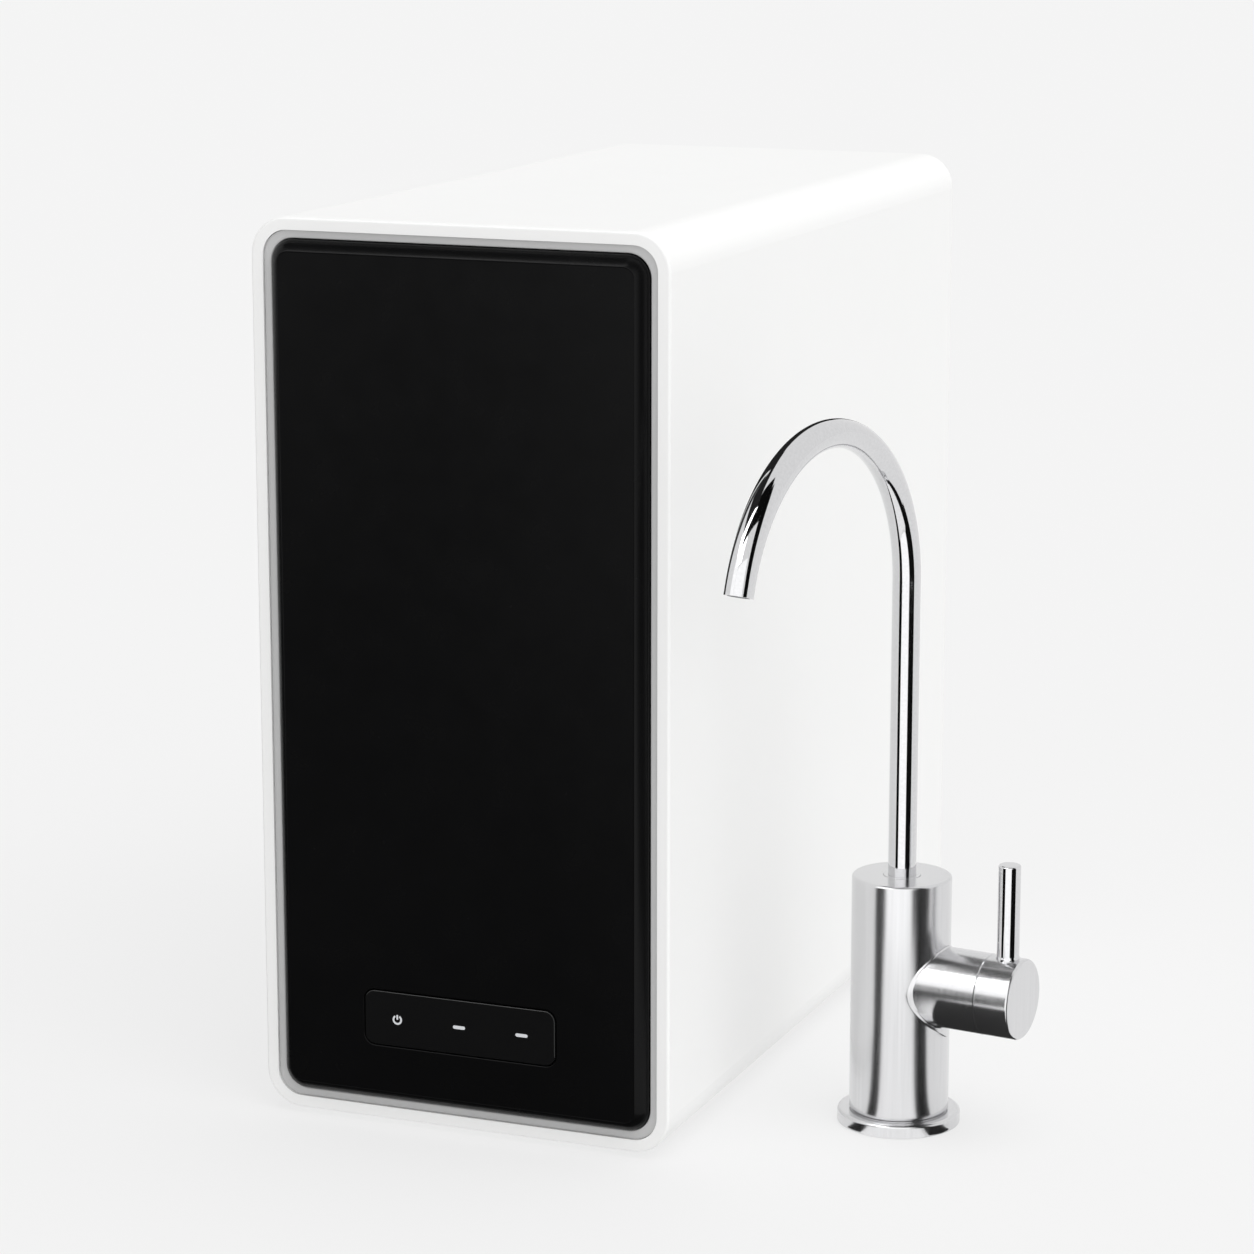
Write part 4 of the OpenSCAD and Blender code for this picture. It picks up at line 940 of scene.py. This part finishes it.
bar = light_bar("power_bar", symbol + Vector((0, 0, symbol_r / 2)), STROKE, symbol_r)
boolean(ring, bar, "UNION")
stand_for(ring, "power_light")

# %% Filter lights
BAR_W, BAR_SHARE, BAR_FROM_END = 5.5 * MM, 0.85, 3.05 * MM

bars_low, bars_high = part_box("filter_lights")
bar_h = BAR_SHARE * (bars_high.z - bars_low.z)
bar_at = Vector((bars_low.x + BAR_FROM_END, lens_low.y, (bars_low.z + bars_high.z) / 2))
bar_step = Vector((bars_high.x - bars_low.x - 2 * BAR_FROM_END, 0, 0))
filter_bars = light_bar("filter_bars", bar_at, BAR_W, bar_h)
boolean(filter_bars, copy_of(filter_bars, "second_bar", bar_step), "UNION")
stand_for(filter_bars, "filter_lights")

# %% [markdown]
# ## The faucet's turned pieces
#
# Flange, body, cap and lever come off a lathe, and so they do here. Their edges are broken by about a
# millimetre, which gives each of them the thin bright line that a chromed edge has.

# %% Flange
POCKET, FLANGE_FOOT, FLANGE_EDGE = 0.5 * MM, 0.3 * MM, 1.4 * MM

flange_low, flange_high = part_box("faucet_flange")
flange_r = (flange_high.x - flange_low.x) / 2
post_r = (BODY_HIGH.x - BODY_LOW.x) / 2
UP = Vector((0, 0, 1))
flange_outline = [
    (0, flange_low.z),
    (flange_r, flange_low.z),
    (flange_r, flange_high.z),
    (post_r, flange_high.z),
    (post_r, flange_high.z - POCKET),
    (0, flange_high.z - POCKET),
]
flange = lathe("flange", flange_outline, {1: FLANGE_FOOT, 2: FLANGE_EDGE}, FAUCET, UP)
stand_for(flange, "faucet_flange", "chrome_satin")

# %% [markdown]
# The body stands in a shallow pocket of the flange. A fine seam is cut back at its foot, because two turned
# pieces that meet always show a dark line there, and a bore at the top takes the bush.

# %% Body
EDGE, FINE_EDGE = 1.2 * MM, 0.3 * MM
SEAM_H, SEAM_IN = 0.8 * MM, 0.7 * MM
BUSH_R, BUSH_LEN = 7.75 * MM, 10 * MM

post_foot = flange_high.z + SEAM_H
post_outline = [
    (0, flange_high.z - POCKET),
    (post_r - SEAM_IN, flange_high.z - POCKET),
    (post_r - SEAM_IN, post_foot),
    (post_r, post_foot),
    (post_r, BODY_HIGH.z),
    (BUSH_R, BODY_HIGH.z),
    (BUSH_R, BODY_HIGH.z - BUSH_LEN),
    (0, BODY_HIGH.z - BUSH_LEN),
]
post = lathe("post", post_outline, {3: FINE_EDGE, 4: EDGE, 5: FINE_EDGE}, FAUCET, UP)
stand_for(post, "faucet_body")

# %% [markdown]
# The cap at the end of the side arm turns with the lever. It is turned about the arm's own axis, which
# doesn't run along a main direction, and a short neck behind it leaves the seam to the fixed arm.

# %% Cap
ARM_REACH, CAP_LEN, SEAM = 41.2 * MM, 15 * MM, 0.4 * MM
NECK_IN, NECK_GAP, SEAM_EDGE = 0.3 * MM, 0.05 * MM, 0.2 * MM

cap_low, cap_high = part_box("handle_cap")
cap_mid = (cap_low + cap_high) / 2
ARM = (cap_mid - FAUCET) * FLAT
ARM.normalize()
arm_r = (cap_high.z - cap_low.z) / 2
arm_foot = Vector((FAUCET.x, FAUCET.y, cap_mid.z))
cap_at = ARM_REACH + SEAM
cap_outline = [
    (0, ARM_REACH + NECK_GAP),
    (arm_r - NECK_IN, ARM_REACH + NECK_GAP),
    (arm_r - NECK_IN, cap_at),
    (arm_r, cap_at),
    (arm_r, cap_at + CAP_LEN),
    (0, cap_at + CAP_LEN),
]
cap = lathe("cap", cap_outline, {3: SEAM_EDGE, 4: EDGE}, arm_foot, ARM)
stand_for(cap, "handle_cap")

# %% [markdown]
# The lever is a plain rod that is screwed into the cap, with a small flare as the shoulder of its thread.

# %% Lever
LEVER_FLARE, FLARE_LOW, FLARE_FLAT, FLARE_TOP = 0.3 * MM, 1.0 * MM, 0.3 * MM, 1.0 * MM
LEVER_TIP, LEVER_SIDES = 0.8 * MM, 96

lever_low, lever_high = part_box("lever")
lever_r = (lever_high.x - lever_low.x) / 2
lever_foot = (lever_low + lever_high) / 2 * FLAT
lever_outline = [
    (0, lever_low.z),
    (lever_r, lever_low.z),
    (lever_r + LEVER_FLARE, cap_high.z - FLARE_LOW),
    (lever_r + LEVER_FLARE, cap_high.z + FLARE_FLAT),
    (lever_r, cap_high.z + FLARE_TOP),
    (lever_r, lever_high.z),
    (0, lever_high.z),
]
lever_soft = {3: FINE_EDGE, 4: FINE_EDGE, 5: LEVER_TIP}
lever = lathe("lever_rod", lever_outline, lever_soft, lever_foot, UP, LEVER_SIDES)
stand_for(lever, "lever")

# %% [markdown]
# The side arm ends in a saddle, because it grows out of the round body, and a thin rolled bead follows
# that saddle. A boolean would leave slivers that chrome shows as dents. Instead one ring of edges is
# extruded again and again, and the vertices of the last rings slide along the arm to the body's surface.

# %% Side arm
ARM_SIDES = 128
ARM_BORE, ARM_BORE_LEN = 9.6 * MM, 8 * MM
BEAD, BEAD_RUN, SEAT = 0.6 * MM, 0.5 * MM, 0.05 * MM
BEAD_SECTION = ((0.45, 0.9), (0.8, 0.62), (1.0, 0.2))
ACROSS = ARM.cross(UP).normalized()


def saddle(radius, angle, proud):
    """Distance along the arm at which a ring of that radius stands proud of the body's surface."""
    sideways = radius * math.cos(angle)
    return math.sqrt((post_r + proud) ** 2 - sideways**2)


# each ring: its radius, and its distance along the arm or how far it stands proud of the body
arm_rings = [
    (ARM_BORE, ARM_REACH - ARM_BORE_LEN, None),
    (ARM_BORE, ARM_REACH, None),
    (arm_r - FINE_EDGE, ARM_REACH, None),
    (arm_r, ARM_REACH - FINE_EDGE, None),
    (arm_r, None, BEAD + BEAD_RUN),
    (arm_r, None, BEAD),
]
arm_rings += [(arm_r + wide * BEAD, None, high * BEAD) for wide, high in BEAD_SECTION]
arm_rings += [(arm_r + BEAD, None, SEAT), (ARM_BORE, None, SEAT)]
start_clean()
bpy.ops.mesh.primitive_circle_add(vertices=ARM_SIDES, radius=ARM_BORE)
arm = shape("side_arm")
for number, (radius, distance, proud) in enumerate(arm_rings):
    if number:
        bpy.ops.mesh.extrude_edges_move(TRANSFORM_OT_translate={"value": (0, 0, 0)})
    mesh = bmesh.from_edit_mesh(arm.data)
    ring_verts = [vert for vert in mesh.verts if vert.select]
    for vert in ring_verts:
        if number == 0:
            angle = math.atan2(vert.co.y, vert.co.x)
        else:
            offset = vert.co - arm_foot
            angle = math.atan2(offset.dot(UP), offset.dot(ACROSS))
        along = distance if proud is None else saddle(radius, angle, proud)
        vert.co = arm_foot + ARM * along + (ACROSS * math.cos(angle) + UP * math.sin(angle)) * radius
    bmesh.update_edit_mesh(arm.data)
pick("EDGE", lambda edge: edge.is_boundary)
bpy.ops.mesh.bridge_edge_loops()
close_up()
stand_for(arm, "valve_sleeve")

# %% [markdown]
# ## The spout
#
# The goose-neck is one bent tube. A circle at its foot is extruded upwards, spun along the arch and
# extruded once more to the tip, and Solidify gives the tube its wall, so that the outlet is open.

# %% Spout
SPOUT_R, SPOUT_WALL, SPOUT_BEND = 5.9 * MM, 1.4 * MM, 70 * MM
SPOUT_SWEEP, SPOUT_RISE, SPOUT_END = math.radians(163), 126 * MM, 4 * MM
SPOUT_SIDES, ARCH_STEPS = 72, 120

spout_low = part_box("spout")[0]
outlet_low, outlet_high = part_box("outlet_straightener")
forward = ((outlet_low + outlet_high) / 2 - FAUCET) * FLAT
forward.normalize()
arch_z = BODY_HIGH.z + SPOUT_RISE
arch_centre = FAUCET + forward * SPOUT_BEND + UP * arch_z
start_clean()
spout_foot = FAUCET + UP * spout_low.z
bpy.ops.mesh.primitive_circle_add(vertices=SPOUT_SIDES, radius=SPOUT_R, location=spout_foot)
spout = shape("goose_neck")
bpy.ops.mesh.extrude_edges_move(TRANSFORM_OT_translate={"value": (0, 0, arch_z - spout_low.z)})
arch_axis = forward.cross(UP)
bpy.ops.mesh.spin(steps=ARCH_STEPS, angle=SPOUT_SWEEP, center=arch_centre, axis=arch_axis)
tip_step = Matrix.Rotation(-SPOUT_SWEEP, 3, arch_axis) @ UP * SPOUT_END
bpy.ops.mesh.extrude_edges_move(TRANSFORM_OT_translate={"value": tip_step})
close_up()
apply(spout, "SOLIDIFY", thickness=SPOUT_WALL, offset=-1)
print("spout", [round(side / MM, 1) for side in spout.dimensions], "mm across")
stand_for(spout, "spout")

# %% [markdown]
# The ring that guides the tube in the body's top is a separate bush. It stands a hair above the flat, with
# broken edges, so that the tube seems to grow out of the metal.

# %% Spout bush
BUSH_OUT, BUSH_PROUD, BUSH_EDGE = 7.7 * MM, 0.1 * MM, 0.1 * MM
BUSH_LIFT, BUSH_PLAY, BUSH_SIDES = 0.2 * MM, 0.06 * MM, 96

bush_top = BODY_HIGH.z + BUSH_PROUD
bush_foot = BODY_HIGH.z - BUSH_LEN + BUSH_LIFT
bush_in = SPOUT_R + BUSH_PLAY
bush_outline = [
    (bush_in, bush_foot),
    (BUSH_OUT, bush_foot),
    (BUSH_OUT, bush_top),
    (bush_in, bush_top),
    (bush_in, bush_foot),
]
bush = lathe("tube_bush", bush_outline, {2: BUSH_EDGE}, FAUCET, UP, BUSH_SIDES)
stand_for(bush, "spout_bush", "chrome_satin")

# %% [markdown]
# ## Screws
#
# Cross-head screws hold the rear panel, the feet and what lies behind the cover. One is turned on the
# lathe, and two tapered blades cut its recess. A bump would do from afar, but a cut stays sharp close by.

# %% One screw
HEAD_R, HEAD_H, SHANK_R, SHANK_LEN = 3.2 * MM, 1.4 * MM, 1.5 * MM, 6 * MM
HEAD_EDGE, TIP_EDGE, SCREW_SIDES = 0.9 * MM, 0.5 * MM, 40
SLOT_W, SLOT_LEN, SLOT_DEPTH, SLOT_TAPER = 0.9 * MM, 4.0 * MM, 0.9 * MM, 0.72
ORIGIN, FACING = Vector((0, 0, 0)), 0.9

screw_outline = [
    (0, -HEAD_H),
    (HEAD_R, -HEAD_H),
    (HEAD_R, 0),
    (SHANK_R, 0),
    (SHANK_R, SHANK_LEN),
    (0, SHANK_LEN),
]
screw = lathe("screw", screw_outline, {1: HEAD_EDGE, 4: TIP_EDGE}, ORIGIN, UP, SCREW_SIDES)
for size in ((SLOT_LEN, SLOT_W, 2 * SLOT_DEPTH), (SLOT_W, SLOT_LEN, 2 * SLOT_DEPTH)):
    blade = block("blade", (0, 0, -HEAD_H), size)
    pick("FACE", lambda face: face.normal.z > FACING)
    bpy.ops.transform.resize(value=(SLOT_TAPER, SLOT_TAPER, 1))
    boolean(screw, blade, "DIFFERENCE")
print("screw with", len(screw.data.polygons), "faces")

# %% [markdown]
# The copies are set where the frame has its screws. No list of places is typed: a merged copy of the node
# falls apart into its loose solids, and each of them tells where its head is and which way it points.

# %% Reading places from a node


def loose_solids(name):
    """The vertices of each separate solid of a node, from a merged copy that is then removed."""
    copy = nodes[name].copy()
    copy.data = nodes[name].data.copy()
    copy.parent = None
    bpy.context.collection.objects.link(copy)
    take(copy)
    bpy.ops.object.mode_set(mode="EDIT")
    bpy.ops.mesh.select_all(action="SELECT")
    bpy.ops.mesh.remove_doubles(threshold=TOUCH)
    bpy.ops.mesh.separate(type="LOOSE")
    bpy.ops.object.mode_set(mode="OBJECT")
    solids = []
    for part in list(bpy.context.selected_objects):
        solids.append([vert.co.copy() for vert in part.data.vertices])
        bpy.data.objects.remove(part)
    return solids


def box_of(points):
    """Lowest and highest corner of some points."""
    return tuple(Vector(end(point[i] for point in points) for i in range(3)) for end in (min, max))


def screw_place(points):
    """Seat of the head, direction of the shank and length of the shank of one solid."""
    low, high = box_of(points)
    axis = max(range(3), key=lambda i: high[i] - low[i])
    middle = (low + high) / 2
    ends = []
    for end in (low[axis], high[axis]):
        ends.append(max((point - middle).length for point in points if abs(point[axis] - end) < TOUCH))
    head_first = ends[0] > ends[1]
    way, seat = Vector((0, 0, 0)), middle.copy()
    way[axis] = 1 if head_first else -1
    seat[axis] = low[axis] + HEAD_H if head_first else high[axis] - HEAD_H
    return seat, way, high[axis] - low[axis] - HEAD_H


screw_places = [screw_place(points) for points in loose_solids("case_screws")]
print("places for", len(screw_places), "screws")

# %% Screws in their places
copies = []
for seat, way, length in screw_places:
    copy = copy_of(screw, "screw_copy", ORIGIN)
    for vert in copy.data.vertices:
        if vert.co.z > SHANK_LEN / 2:
            vert.co.z += length - SHANK_LEN
    copy.data.transform(Matrix.Translation(seat) @ way.to_track_quat("Z", "Y").to_matrix().to_4x4())
    copies.append(copy)
bpy.data.objects.remove(screw)
stand_for(join(copies, "screws"), "case_screws")

# %% [markdown]
# ## Filter caps
#
# With the cover off, the two round caps of the filters look out, each with a bar to grip across a round
# well. The well is turned, and the bar is a block that widens to its foot, with soft edges for the hand.
# Both caps come from one mould, so the second is a copy.

# %% Cap with a well
WELL_WALL, WELL_FLOOR, CAP_SIDES = 10 * MM, 4 * MM, 160
WELL_SOFT = {1: 2.5 * MM, 2: 1.5 * MM, 3: 1.8 * MM, 4: 0.6 * MM}

grip_low, grip_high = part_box("composite_cap")
grip_mid = (grip_low + grip_high) / 2
grip_r = (grip_high.x - grip_low.x) / 2
grip_depth = grip_high.y - grip_low.y
well_r = grip_r - WELL_WALL
grip_outline = [
    (0, grip_depth - WELL_FLOOR),
    (well_r, grip_depth - WELL_FLOOR),
    (well_r, 0),
    (grip_r, 0),
    (grip_r, grip_depth),
    (0, grip_depth),
]
grip_front = Vector((grip_mid.x, grip_low.y, grip_mid.z))
grip = lathe("composite_grip", grip_outline, WELL_SOFT, grip_front, (0, 1, 0), CAP_SIDES)
print("cap", [round(side / MM, 1) for side in grip.dimensions], "mm")

# %% Bar to grip
GRIP_W, GRIP_SINK, GRIP_EDGE, GRIP_FLARE = 12 * MM, 1.0 * MM, 2.2 * MM, 1.25
BAR_BACK, BAR_REACH = 3.2 * MM, 1.0 * MM

bar_y = (grip_low.y + GRIP_SINK + grip_high.y - BAR_BACK) / 2
bar_size = (GRIP_W, grip_depth - GRIP_SINK - BAR_BACK, 2 * (well_r + BAR_REACH))
bar = block("grip_bar", (grip_mid.x, bar_y, grip_mid.z), bar_size)
pick("FACE", lambda face: face.normal.y > FACING)
bpy.ops.transform.resize(value=(GRIP_FLARE, 1, 1))
pick("EDGE", lambda edge: all(vert.co.y < bar_y for vert in edge.verts))
bpy.ops.mesh.bevel(offset=GRIP_EDGE, segments=5)
boolean(grip, bar, "UNION")
second_grip = copy_of(grip, "membrane_grip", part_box("membrane_cap")[0] - grip_low)
stand_for(grip, "composite_cap")
stand_for(second_grip, "membrane_cap")

# %% [markdown]
# ## Feet
#
# Four rubber feet lift the housing off the floor. One is turned, with a recess that hides its screw and
# edges that are softer at the floor than at the housing, and the others are copies of it.

# %% Feet
FOOT_EDGE, RECESS_R, RECESS_H, FOOT_SIDES = 0.7 * MM, 3.5 * MM, 2.0 * MM, 64

foot_boxes = [box_of(points) for points in loose_solids("feet")]
foot_low, foot_high = foot_boxes[0]
foot_r = (foot_high.x - foot_low.x) / 2
foot_mid = (foot_low + foot_high) / 2
foot_outline = [
    (0, RECESS_H),
    (RECESS_R, RECESS_H),
    (RECESS_R, 0),
    (foot_r, 0),
    (foot_r, foot_high.z),
    (0, foot_high.z),
]
foot_soft = {2: FINE_EDGE, 3: FOOT_EDGE, 4: FINE_EDGE}
foot_at = Vector((foot_mid.x, foot_mid.y, foot_low.z))
foot = lathe("foot", foot_outline, foot_soft, foot_at, UP, FOOT_SIDES)
feet = [foot] + [copy_of(foot, "foot", low - foot_low) for low, high in foot_boxes[1:]]
stand_for(join(feet, "rubber_feet"), "feet")

# %% [markdown]
# ## Measure and finish
#
# The box of the dressed object is measured against that of its solids, and the differences are printed.

# %% Measure and finish
visual_low, visual_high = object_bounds()
corners = zip((*visual_low, *visual_high), (*CAD_LOW, *CAD_HIGH))
print("dressed box against the solids", [round((a - b) / MM, 2) for a, b in corners], "mm")
